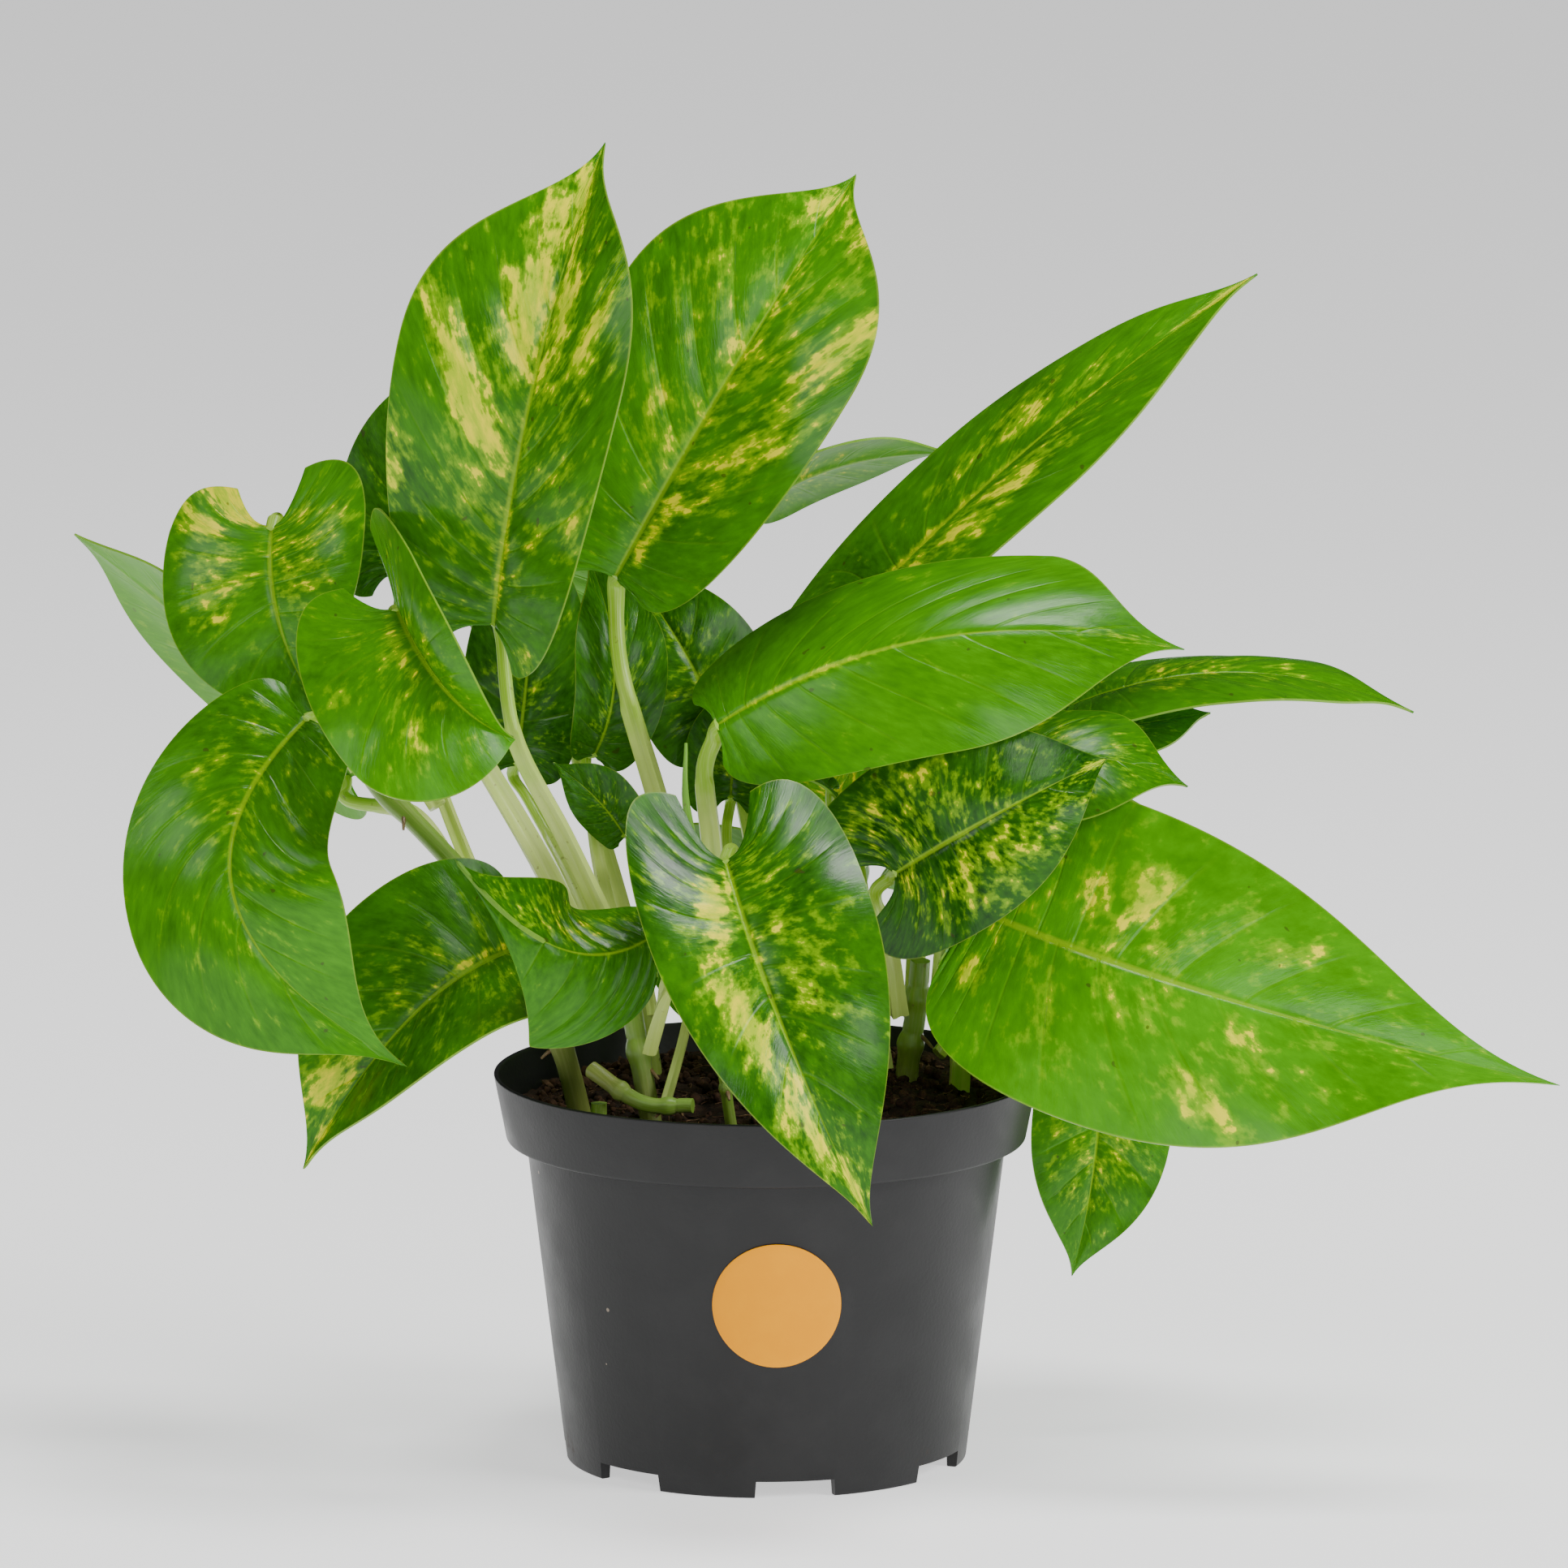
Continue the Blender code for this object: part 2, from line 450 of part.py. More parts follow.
def build_soil(surface):
    """The plug of potting mix, a clearance inside the pot, with sockets for the stems."""
    bottom = FLOOR_HEIGHT + WALL + CLEARANCE
    band_foot = POT_HEIGHT - BAND_HEIGHT
    rings = (
        (inner_radius(bottom) - CLEARANCE, bottom), (WALL_RADIUS - WALL - CLEARANCE, band_foot - 1.0),
        (WALL_RADIUS - WALL - CLEARANCE, band_foot + WALL + CLEARANCE + 0.2),
        (BAND_RADIUS - WALL - CLEARANCE, band_foot + WALL + 1.0 + CLEARANCE + 0.2),
    )
    edge = BAND_RADIUS - WALL - CLEARANCE
    bm = bmesh.new()
    angles = [2 * math.pi * k / SEGMENTS for k in range(SEGMENTS)]
    loops = [[bm.verts.new((r * math.cos(a), r * math.sin(a), z)) for a in angles] for r, z in rings]
    for share in (1.0, 0.8, 0.55, 0.3):
        loops.append([bm.verts.new((edge * share * math.cos(a), edge * share * math.sin(a),
                                    soil_height(edge * share * math.cos(a), edge * share * math.sin(a))))
                      for a in angles])
    for low, high in zip(loops, loops[1:]):
        for k in range(SEGMENTS):
            j = (k + 1) % SEGMENTS
            bm.faces.new((low[k], low[j], high[j], high[k]))
    for loop, height in ((loops[0], bottom), (loops[-1], soil_height(0, 0))):
        middle = bm.verts.new((0, 0, height))
        for k in range(SEGMENTS):
            bm.faces.new((loop[k], loop[(k + 1) % SEGMENTS], middle))
    return add_object("soil", bm, surface)


def build_sticker(surface):
    """A thin round label that follows the pot's tapered wall, a clearance in front of it."""
    slope = (WALL_RADIUS - FOOT_RADIUS) / (POT_HEIGHT - BAND_HEIGHT)
    bm = bmesh.new()
    layers = []
    for lift in (CLEARANCE, CLEARANCE + STICKER_THICKNESS):
        loops = []
        for share in (0.0, 0.5, 1.0):
            loop = []
            for k in range(24):
                angle = 2 * math.pi * k / 24
                x = STICKER_OFFSET + STICKER_RADIUS * share * math.cos(angle)
                z = STICKER_HEIGHT + STICKER_RADIUS * share * math.sin(angle)
                radius = FOOT_RADIUS + slope * z + lift
                loop.append((x, -math.sqrt(radius ** 2 - x ** 2), z))
            loops.append(loop[:1] if share == 0.0 else loop)
        layers.append([[bm.verts.new(p) for p in loop] for loop in loops])
    for loops in layers:
        for k in range(24):
            j = (k + 1) % 24
            bm.faces.new((loops[0][0], loops[1][k], loops[1][j]))
            bm.faces.new((loops[1][k], loops[2][k], loops[2][j], loops[1][j]))
    for k in range(24):
        j = (k + 1) % 24
        bm.faces.new((layers[0][2][k], layers[0][2][j], layers[1][2][j], layers[1][2][k]))
    return add_object("sticker", bm, surface)


def build_blade(name, blade, surface):
    """One closed leaf blade: a grid over both halves, given its thickness."""
    rows, columns = BLADE_ROWS, BLADE_COLUMNS
    grid = []
    for row in range(rows + 1):
        t = row / rows
        left = [blade.point(0, t, c / columns) for c in range(columns, 0, -1)]
        right = [blade.point(1, t, c / columns) for c in range(0, columns + 1)]
        grid.append(left + right)
    grid = np.array(grid)
    along = np.gradient(grid, axis=0)
    across = np.gradient(grid, axis=1)
    normal = np.cross(along, across)
    normal[-1] = normal[-2]
    normal /= np.linalg.norm(normal, axis=2, keepdims=True)
    tip_normal = unit(normal[-1].sum(axis=0))
    bm = bmesh.new()
    sheets = []
    for lift in (0.5, -0.5):
        shift = normal * BLADE_THICKNESS * lift
        rows_of_verts = [[bm.verts.new(p) for p in line] for line in (grid + shift)[:-1]]
        tip = bm.verts.new(grid[-1, 0] + tip_normal * BLADE_THICKNESS * lift)
        sheets.append((rows_of_verts, tip))
    last = 2 * columns
    for lines, tip in sheets:
        for low, high in zip(lines, lines[1:]):
            for k in range(last):
                bm.faces.new((low[k], low[k + 1], high[k + 1], high[k]))
        for k in range(last):
            bm.faces.new((lines[-1][k], lines[-1][k + 1], tip))
    (upper, upper_tip), (lower, lower_tip) = sheets
    for k in range(last):
        bm.faces.new((upper[0][k], upper[0][k + 1], lower[0][k + 1], lower[0][k]))
    for k in (0, last):
        edge_up = [line[k] for line in upper] + [upper_tip]
        edge_down = [line[k] for line in lower] + [lower_tip]
        for i in range(len(edge_up) - 1):
            bm.faces.new((edge_up[i], edge_up[i + 1], edge_down[i + 1], edge_down[i]))
    return add_object(name, bm, surface)


def build_all():
    for thing in list(bpy.data.objects):
        bpy.data.objects.remove(thing, do_unlink=True)
    plastic = material("pot_plastic", (0.035, 0.037, 0.04), 0.45)
    earth = material("potting_mix", (0.035, 0.018, 0.01), 0.95)
    paper = material("sticker_paper", (0.93, 0.47, 0.01), 0.5)
    green = material("leaf_green", (0.05, 0.25, 0.01), 0.35)
    pale = material("stalk_green", (0.35, 0.5, 0.12), 0.45)
    build_pot(plastic)
    soil = build_soil(earth)
    build_sticker(paper)

    stems = {**VINES, **STUBS}
    for name, (points, radii) in stems.items():
        points = planted(points)
        tube_object(name, [(points, radii)], pale)
        cut(soil, tube_object("guide_" + name, [(points, radii)], None, swell=CLEARANCE))
    for name, (points, radii) in {"lying_stem": LYING_STEM, "shoot": SHOOT}.items():
        tube_object(name, [(planted(points), radii)], pale)

    for name, shape in LEAVES.items():
        blade = Blade(**shape)
        leaf = build_blade(name, blade, green)
        tube = (blade.stalk_route(), blade.stalk_radius)
        combine(leaf, tube_object("stalk_" + name, [tube], pale), "UNION")
        if blade.stalk[0][2] < POT_HEIGHT - SOIL_DROP:
            cut(soil, tube_object("socket_" + name, [tube], None, swell=CLEARANCE))


build_all()
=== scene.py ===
"""A golden pothos in a six-inch nursery pot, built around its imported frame.

Metres once a mesh is made, +Z up, +X to the right, -Y towards the front, origin at the
centre of the pot's foot. Sizes that are given in millimetres are multiplied by MM.
"""
import math
import random

import bpy
import numpy as np
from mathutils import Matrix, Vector, noise


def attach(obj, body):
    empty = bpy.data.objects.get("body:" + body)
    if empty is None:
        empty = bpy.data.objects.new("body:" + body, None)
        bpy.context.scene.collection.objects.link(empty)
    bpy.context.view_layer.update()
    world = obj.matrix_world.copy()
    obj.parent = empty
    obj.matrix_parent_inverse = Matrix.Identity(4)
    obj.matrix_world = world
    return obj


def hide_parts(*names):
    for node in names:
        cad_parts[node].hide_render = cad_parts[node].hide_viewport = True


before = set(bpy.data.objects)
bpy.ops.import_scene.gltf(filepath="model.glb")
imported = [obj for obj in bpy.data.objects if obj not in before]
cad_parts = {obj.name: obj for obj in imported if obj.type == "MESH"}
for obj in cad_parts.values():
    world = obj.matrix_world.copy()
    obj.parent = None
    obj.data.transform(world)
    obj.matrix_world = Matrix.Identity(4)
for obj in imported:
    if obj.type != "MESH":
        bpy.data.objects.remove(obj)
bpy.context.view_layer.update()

# ---- Nursery pot ----
# A thin-walled growing pot, injection moulded in charcoal polypropylene: a tapered wall under a
# deeper rim band, a raised floor with seven drain holes, and seven drain notches in its foot.
MM = 0.001
POT_HEIGHT, RIM_RADIUS, BAND_RADIUS, BAND_HEIGHT = 109.0, 76.0, 72.4, 18.5
WALL_RADIUS, FOOT_RADIUS, WALL, FLOOR_HEIGHT = 67.0, 56.0, 1.4, 5.0
PAD_RADIUS, BAND_FOOT, FLOOR_TOP = 12.0, POT_HEIGHT - BAND_HEIGHT, FLOOR_HEIGHT + WALL
NOTCH_COUNT, NOTCH_WIDTH, NOTCH_HEIGHT, NOTCH_ANGLE = 7, 22.0, 4.8, 8.4
NOTCH_PITCH = 360.0 / NOTCH_COUNT
NOTCH_FLANK = 0.25        # degrees over which a notch's side rises
HOLE_RADIUS, HOLE_MARGIN, DRILL_LENGTH = 4.5, 2.0, 8.0
WALL_SLOPE = (WALL_RADIUS - FOOT_RADIUS) / BAND_FOOT


def formed_grid(name, columns, rows, place):
    """A flat grid whose points move to place(u, v), in millimetres; u and v run from 0 to 1."""
    bpy.ops.object.select_all(action="DESELECT")
    bpy.ops.mesh.primitive_grid_add(x_subdivisions=columns, y_subdivisions=rows, size=2)
    piece = bpy.context.object
    piece.name = piece.data.name = name
    flat = np.empty(len(piece.data.vertices) * 3)
    piece.data.vertices.foreach_get("co", flat)
    flat = flat.reshape(-1, 3).round(5)
    order = np.lexsort((flat[:, 0], flat[:, 1]))
    width = len(np.unique(flat[:, 0]))
    u, v = ((flat[order, k].reshape(-1, width) + 1) / 2 for k in (0, 1))
    moved = np.empty_like(flat)
    moved[order] = place(u, v).reshape(-1, 3) * MM
    piece.data.vertices.foreach_set("co", moved.ravel())
    piece.data.update()
    return piece


def select_only(*pieces):
    """Select the pieces alone, with the first one active."""
    bpy.ops.object.select_all(action="DESELECT")
    for piece in pieces:
        piece.select_set(True)
    bpy.context.view_layer.objects.active = pieces[0]


def close_up(piece, outward=True):
    """Merge the points that meet at a seam or a pole, and turn the faces outwards."""
    select_only(piece)
    bpy.ops.object.mode_set(mode="EDIT")
    bpy.ops.mesh.select_all(action="SELECT")
    bpy.ops.mesh.remove_doubles(threshold=1e-6)
    if outward:
        bpy.ops.mesh.normals_make_consistent(inside=False)
    bpy.ops.object.mode_set(mode="OBJECT")
    return piece


def apply_modifier(piece, kind, **settings):
    bpy.context.view_layer.objects.active = piece
    modifier = piece.modifiers.new(kind.lower(), kind)
    for key, value in settings.items():
        setattr(modifier, key, value)
    bpy.ops.object.modifier_apply(modifier=modifier.name)


def finished(piece, surface, degrees, slot, *nodes):
    """Coat and smooth a piece, and let it go with the only body and stand for its nodes."""
    if surface:
        piece.data.materials.clear()
        piece.data.materials.append(surface)
    select_only(piece)
    bpy.ops.object.shade_smooth_by_angle(angle=math.radians(degrees))
    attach(piece, "root")
    if nodes:
        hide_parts(*nodes)


def add_node(tree, kind, sockets=None, **settings):
    made = tree.nodes.new("ShaderNode" + kind)
    for key, value in settings.items():
        setattr(made, key, value)
    for socket, value in (sockets or {}).items():
        if isinstance(value, bpy.types.NodeSocket):
            tree.links.new(value, made.inputs[socket])
        else:
            made.inputs[socket].default_value = value
    return made


def reckon(tree, operation, first, second=0.0, clamp=False):
    return add_node(tree, "Math", {0: first, 1: second}, operation=operation, use_clamp=clamp).outputs[0]


def times(tree, product, *factors):
    for factor in factors:
        product = reckon(tree, "MULTIPLY", product, factor)
    return product


def plus(tree, total, *values):
    for value in values:
        total = reckon(tree, "ADD", total, value)
    return total


def ramp(tree, value, low, high, to_low=0.0, to_high=1.0):
    """The value's place between low and high, as a soft step."""
    return add_node(tree, "MapRange", {0: value, 1: low, 2: high, 3: to_low, 4: to_high},
                    interpolation_type="SMOOTHSTEP").outputs[0]


def mixed(tree, share, first, second):
    """The first colour with its share of the second; a plain colour is red, green and blue."""
    first, second = ((*value, 1.0) if isinstance(value, tuple) else value for value in (first, second))
    return add_node(tree, "Mix", {0: share, 6: first, 7: second}, data_type="RGBA").outputs[2]


def grain(tree, vector, scale, detail=4.0, roughness=0.55):
    return add_node(tree, "TexNoise", {"Vector": vector, "Scale": scale, "Detail": detail,
                                       "Roughness": roughness}).outputs[0]


def wire(tree, shader, **values):
    for key, value in values.items():
        tree.links.new(value, shader.inputs[key.replace("_", " ")])


def relief(tree, shader, height, distance, strength=1.0):
    bump = add_node(tree, "Bump", {"Height": height, "Distance": distance, "Strength": strength})
    wire(tree, shader, Normal=bump.outputs[0])


def new_finish(name, **constants):
    surface = bpy.data.materials.new(name)
    surface.use_nodes = True
    tree = surface.node_tree
    shader = tree.nodes["Principled BSDF"]
    for key, value in constants.items():
        shader.inputs[key.replace("_", " ")].default_value = value
    return surface, tree, shader


def pot_finish():
    """Charcoal plastic: satin, finely mottled, with dust specks and earth smudges near the foot."""
    surface, tree, shader = new_finish("charcoal_plastic", IOR=1.49, Specular_IOR_Level=0.30)
    place = add_node(tree, "TexCoord").outputs["Object"]
    height = add_node(tree, "SeparateXYZ", {0: place}).outputs[2]
    mottle = grain(tree, place, 60.0, 5.0)
    fine = grain(tree, place, 900.0, 2.0)
    shade = mixed(tree, ramp(tree, mottle, 0.35, 0.7),
                  (0.012, 0.012, 0.0125), (0.018, 0.018, 0.0185))
    cells = add_node(tree, "TexVoronoi", {"Vector": place, "Scale": 95.0, "Randomness": 1.0})
    speck = reckon(tree, "LESS_THAN", cells.outputs["Distance"], 0.055)
    lot = add_node(tree, "SeparateColor", {0: cells.outputs["Color"]}).outputs[0]
    chosen = reckon(tree, "GREATER_THAN", lot, 0.8)
    shade = mixed(tree, times(tree, speck, chosen, 0.8), shade, (0.30, 0.24, 0.18))
    smudge = times(tree, ramp(tree, grain(tree, place, 38.0, 6.0, 0.7), 0.58, 0.72),
                   ramp(tree, height, 0.016, 0.0))
    shade = mixed(tree, times(tree, smudge, 0.7), shade, (0.10, 0.055, 0.03))
    dull = plus(tree, ramp(tree, mottle, 0.3, 0.7, 0.36, 0.47), times(tree, smudge, 0.3))
    wire(tree, shader, Base_Color=shade, Roughness=dull)
    relief(tree, shader, plus(tree, fine, times(tree, mottle, 1.5)), 0.00012, 0.5)
    return surface


def corner(before, at, after, radius, steps=4):
    """A rounded corner of a profile, as a quadratic curve that starts and ends a radius away."""
    before, at, after = (np.asarray(p, float) for p in (before, at, after))
    start = at + (before - at) * radius / np.linalg.norm(before - at)
    end = at + (after - at) * radius / np.linalg.norm(after - at)
    for k in range(steps + 1):
        t = k / steps
        yield (1 - t) ** 2 * start + 2 * t * (1 - t) * at + t * t * end


def rounded(profile, radii):
    """The profile with each inner corner rounded by its radius."""
    route = [np.asarray(profile[0], float)]
    for before, at, after, radius in zip(profile, profile[1:], profile[2:], radii):
        route.extend(corner(before, at, after, radius))
    return np.array([*route, profile[-1]])


def inner_radius(height):
    """Inside radius of the pot's tapered wall."""
    share = (height - FLOOR_HEIGHT) / (BAND_FOOT - FLOOR_HEIGHT)
    return FOOT_RADIUS - WALL + (WALL_RADIUS - FOOT_RADIUS) * min(share, 1.0)


pot_profile = rounded(
    ((0.0, 0.0), (PAD_RADIUS, 0.0), (PAD_RADIUS + WALL, FLOOR_HEIGHT),
     (FOOT_RADIUS - 2 * WALL, FLOOR_HEIGHT), (FOOT_RADIUS - 2 * WALL, 0.0), (FOOT_RADIUS, 0.0),
     (WALL_RADIUS, BAND_FOOT), (BAND_RADIUS, BAND_FOOT), (RIM_RADIUS, POT_HEIGHT),
     (RIM_RADIUS - WALL, POT_HEIGHT), (BAND_RADIUS - WALL, BAND_FOOT + WALL + 1.0),
     (WALL_RADIUS - WALL, BAND_FOOT + WALL), (WALL_RADIUS - WALL, BAND_FOOT - 1.0),
     (inner_radius(FLOOR_TOP), FLOOR_TOP), (0.0, FLOOR_TOP)),
    (0.6, 0.6, 0.4, 0.4, 0.5, 0.8, 0.9, 0.6, 0.65, 0.6, 0.6, 0.6, 1.5))


def pot_shell(u, v):
    """The profile turned round the axis, its foot lifted where a drain notch is."""
    sector = u * NOTCH_COUNT
    half = math.degrees(NOTCH_WIDTH / 2 / FOOT_RADIUS)
    within = np.interp(sector - np.floor(sector), (0.0, 0.22, 0.27, 0.73, 0.78, 1.0),
                       (-NOTCH_PITCH / 2, -half - NOTCH_FLANK, -half + NOTCH_FLANK,
                        half - NOTCH_FLANK, half + NOTCH_FLANK, NOTCH_PITCH / 2))
    angle = np.radians(np.floor(sector) * NOTCH_PITCH + within + NOTCH_ANGLE - 90)
    radius, height = (pot_profile[np.rint(v * (len(pot_profile) - 1)).astype(int)][..., k] for k in (0, 1))
    foot = (radius > FOOT_RADIUS - 2 * WALL - 0.1) & (height < NOTCH_HEIGHT) & (np.abs(within) < half)
    foot &= v < 0.6
    lifted = np.where(foot, NOTCH_HEIGHT, height)
    radius = np.where(foot & (radius > FOOT_RADIUS - WALL), radius + WALL_SLOPE * (lifted - height), radius)
    return np.stack((radius * np.cos(angle), radius * np.sin(angle), lifted), axis=-1)


pot = close_up(formed_grid("nursery_pot", NOTCH_COUNT * 32, len(pot_profile) - 1, pot_shell))
hole_circle = FOOT_RADIUS - 3 * WALL - HOLE_RADIUS - HOLE_MARGIN
for number in range(NOTCH_COUNT):
    turn = math.radians(NOTCH_ANGLE - 90 + number * NOTCH_PITCH)
    bpy.ops.mesh.primitive_cylinder_add(
        vertices=32, radius=HOLE_RADIUS * MM, depth=DRILL_LENGTH * MM,
        location=(hole_circle * MM * math.cos(turn), hole_circle * MM * math.sin(turn), FLOOR_HEIGHT * MM))
    drill = bpy.context.object
    apply_modifier(pot, "BOOLEAN", object=drill, operation="DIFFERENCE", solver="EXACT")
    bpy.data.objects.remove(drill, do_unlink=True)
finished(pot, pot_finish(), 35, "pot_plastic", "pot")

# ---- Potting mix ----
# A plug of peat and fine bark that fills the pot to a little under its rim, mounded by hand round
# the cuttings. Loose crumbs, bark chips and coir fibres lie on its surface.
SOIL_DROP, SOIL_MOUND, SOIL_TILT, CLEARANCE = 9.0, 5.0, 3.5, 0.3
SOIL_EDGE = BAND_RADIUS - WALL - CLEARANCE
CRUMB_COUNT, FIBRE_COUNT, CHIP_COUNT = 1500, 330, 130
CRUMB_REACH, FIBRE_REACH, FIBRE_RADIUS = SOIL_EDGE - 3.0, SOIL_EDGE - 7, 0.14
SOIL_COLUMNS, SOIL_RINGS = 200, 56


def soil_height(x, y):
    """The soil's top: a low mound that rises towards the right and the back."""
    share = min(1.0, math.hypot(x, y) / WALL_RADIUS)
    slope = SOIL_TILT * (x + y) / (WALL_RADIUS * math.sqrt(2))
    return POT_HEIGHT - SOIL_DROP + SOIL_MOUND * (1 - share ** 2) + slope


def soil_lumps(x, y):
    """Small clods and hollows, in millimetres."""
    coarse = noise.fractal(Vector((x, y, 3.0)) * 0.16, 0.9, 2.0, 3)
    fine = noise.fractal(Vector((x, y, 9.0)) * 0.55, 0.8, 2.1, 4)
    return 1.2 * coarse + 0.55 * fine


soil_bottom = FLOOR_TOP + CLEARANCE
soil_sides = ((0.0, soil_bottom), (inner_radius(soil_bottom) - CLEARANCE - 1.0, soil_bottom),
              (inner_radius(soil_bottom) - CLEARANCE, soil_bottom + 1.0),
              (WALL_RADIUS - WALL - CLEARANCE, BAND_FOOT - 1.0),
              (WALL_RADIUS - WALL - CLEARANCE, BAND_FOOT + WALL + 0.5),
              (SOIL_EDGE, BAND_FOOT + WALL + 1.8))


def soil_plug(u, v):
    """The sides as turned, then the top in rings from the edge to the middle."""
    rows, columns = u.shape
    places = np.zeros((rows, columns, 3))
    for row in range(rows):
        for column in range(columns):
            turn = 2 * math.pi * (column % (columns - 1)) / (columns - 1)
            if row < len(soil_sides):
                radius, height = soil_sides[row]
                x, y = radius * math.cos(turn), radius * math.sin(turn)
            else:
                share = 1 - (row - len(soil_sides)) / (rows - 1 - len(soil_sides))
                x, y = SOIL_EDGE * share * math.cos(turn), SOIL_EDGE * share * math.sin(turn)
                height = soil_height(x, y) + soil_lumps(x, y)
            places[row, column] = x, y, height
    return places


def soil_finish(name, dark, pale, rough_bump):
    surface, tree, shader = new_finish(name, Roughness=0.93, Specular_IOR_Level=0.25)
    place = add_node(tree, "TexCoord").outputs["Object"]
    broad, fine = grain(tree, place, 220.0, 6.0, 0.65), grain(tree, place, 1500.0, 3.0)
    share = plus(tree, times(tree, broad, 0.7), times(tree, fine, 0.3))
    wire(tree, shader, Base_Color=mixed(tree, ramp(tree, share, 0.38, 0.68), dark, pale))
    relief(tree, shader, share, rough_bump)
    return surface


def scattered(name, template, count, seed, sizes, stretch, sink):
    """Copies of one small mesh strewn over the soil, each turned, stretched and sized by chance."""
    chance = random.Random(seed)
    points, faces = template
    all_points, all_faces = [], []
    for _ in range(count):
        radius, turn = CRUMB_REACH * math.sqrt(chance.random()), chance.uniform(0, 2 * math.pi)
        x, y = radius * math.cos(turn), radius * math.sin(turn)
        size = chance.uniform(sizes[0], sizes[1]) ** 2 / sizes[1]
        axes = np.linalg.qr(np.array([[chance.gauss(0, 1) for _ in range(3)] for _ in range(3)]))[0]
        scale = np.array([size * chance.uniform(*pair) for pair in stretch])
        jitter = np.array([[chance.uniform(-0.13, 0.13) for _ in range(3)] for _ in points])
        placed = ((points + jitter) * scale) @ axes.T
        placed += (x, y, soil_height(x, y) + soil_lumps(x, y) + size * sink)
        all_faces.extend(tuple(k + len(all_points) for k in face) for face in faces)
        all_points.extend(placed * MM)
    mesh = bpy.data.meshes.new(name)
    mesh.from_pydata(all_points, [], all_faces)
    mesh.update()
    piece = bpy.data.objects.new(name, mesh)
    bpy.context.scene.collection.objects.link(piece)
    return piece


def rough_ball(subdivisions):
    """The points and faces of a ball, the start of each strewn piece."""
    bpy.ops.mesh.primitive_ico_sphere_add(subdivisions=subdivisions, radius=1.0)
    made = bpy.context.object
    points = np.array([v.co for v in made.data.vertices])
    faces = [tuple(f.vertices) for f in made.data.polygons]
    bpy.data.objects.remove(made, do_unlink=True)
    return points, faces


soil = close_up(formed_grid("potting_mix", SOIL_COLUMNS, len(soil_sides) + SOIL_RINGS, soil_plug))
peat = soil_finish("peat", (0.010, 0.005, 0.003), (0.050, 0.024, 0.012), 0.0006)
finished(soil, peat, 60, "potting_mix", "soil")

crumbs = scattered("soil_crumbs", rough_ball(2), CRUMB_COUNT, 4, (0.5, 2.1),
                   ((0.7, 1.3), (0.6, 1.2), (0.5, 1.0)), 0.25)
crumb_peat = soil_finish("peat_crumb", (0.014, 0.007, 0.004), (0.085, 0.040, 0.020), 0.0004)
finished(crumbs, crumb_peat, 50, "potting_mix")

chips = scattered("bark_chips", rough_ball(1), CHIP_COUNT, 8, (0.7, 2.6),
                  ((1.0, 1.9), (0.4, 0.8), (0.15, 0.35)), 0.35)
bark = soil_finish("bark", (0.045, 0.022, 0.011), (0.17, 0.095, 0.05), 0.0003)
finished(chips, bark, 30, "potting_mix")

chance = random.Random(12)
threads = []
for _ in range(FIBRE_COUNT):
    radius, turn = FIBRE_REACH * math.sqrt(chance.random()), chance.uniform(0, 2 * math.pi)
    x, y = radius * math.cos(turn), radius * math.sin(turn)
    heading, bending, length = chance.uniform(0, 2 * math.pi), chance.uniform(-1.2, 1.2), chance.uniform(2, 7)
    thread = []
    for _ in range(4):
        thread.append((x, y, soil_height(x, y) + soil_lumps(x, y) + chance.uniform(0.1, 0.9)))
        heading += bending / 3
        x, y = x + length / 3 * math.cos(heading), y + length / 3 * math.sin(heading)
    threads.append(thread)
curve = bpy.data.curves.new("coir_fibres", "CURVE")
curve.dimensions, curve.bevel_depth, curve.bevel_resolution = "3D", FIBRE_RADIUS * MM, 0
curve.resolution_u, curve.use_fill_caps = 3, True
for thread in threads:
    line = curve.splines.new("NURBS")
    line.points.add(len(thread) - 1)
    line.use_endpoint_u, line.order_u = True, 3
    for point, place in zip(line.points, thread):
        point.co = (*(np.array(place) * MM), 1.0)
        point.radius = chance.uniform(0.6, 1.4)
fibres = bpy.data.objects.new("coir_fibres", curve)
bpy.context.scene.collection.objects.link(fibres)
select_only(fibres)
bpy.ops.object.convert(target="MESH")
coir = soil_finish("coir", (0.06, 0.03, 0.014), (0.26, 0.15, 0.075), 0.0001)
finished(bpy.context.object, coir, 60, "potting_mix")

# ---- Round sticker ----
# A plain yellow paper label, printed in one colour and stuck by hand to the front of the pot,
# where it follows the curve of the wall.
STICKER_RADIUS, STICKER_THICKNESS, STICKER_GAP = 17.7, 0.5, 0.08
STICKER_HEIGHT, STICKER_OFFSET = 55.8, 3.0


def sticker_sheet(u, v):
    """A disc from its middle to its edge and back behind it, laid on the tapered wall."""
    span = np.array((0.0, 0.3, 0.6, 0.85, 0.98, 1.0, 1.0, 0.98, 0.6, 0.0))
    lift = np.array((1.0, 1.0, 1.0, 1.0, 1.0, 0.75, 0.0, 0.0, 0.0, 0.0))
    row = np.rint(v * (len(span) - 1)).astype(int)
    angle = 2 * math.pi * u
    angle[:, -1] = 0.0
    x = STICKER_OFFSET + STICKER_RADIUS * span[row] * np.cos(angle)
    z = STICKER_HEIGHT + STICKER_RADIUS * span[row] * np.sin(angle)
    radius = FOOT_RADIUS + WALL_SLOPE * z + STICKER_GAP + STICKER_THICKNESS * lift[row]
    return np.stack((x, -np.sqrt(radius ** 2 - x ** 2), z), axis=-1)


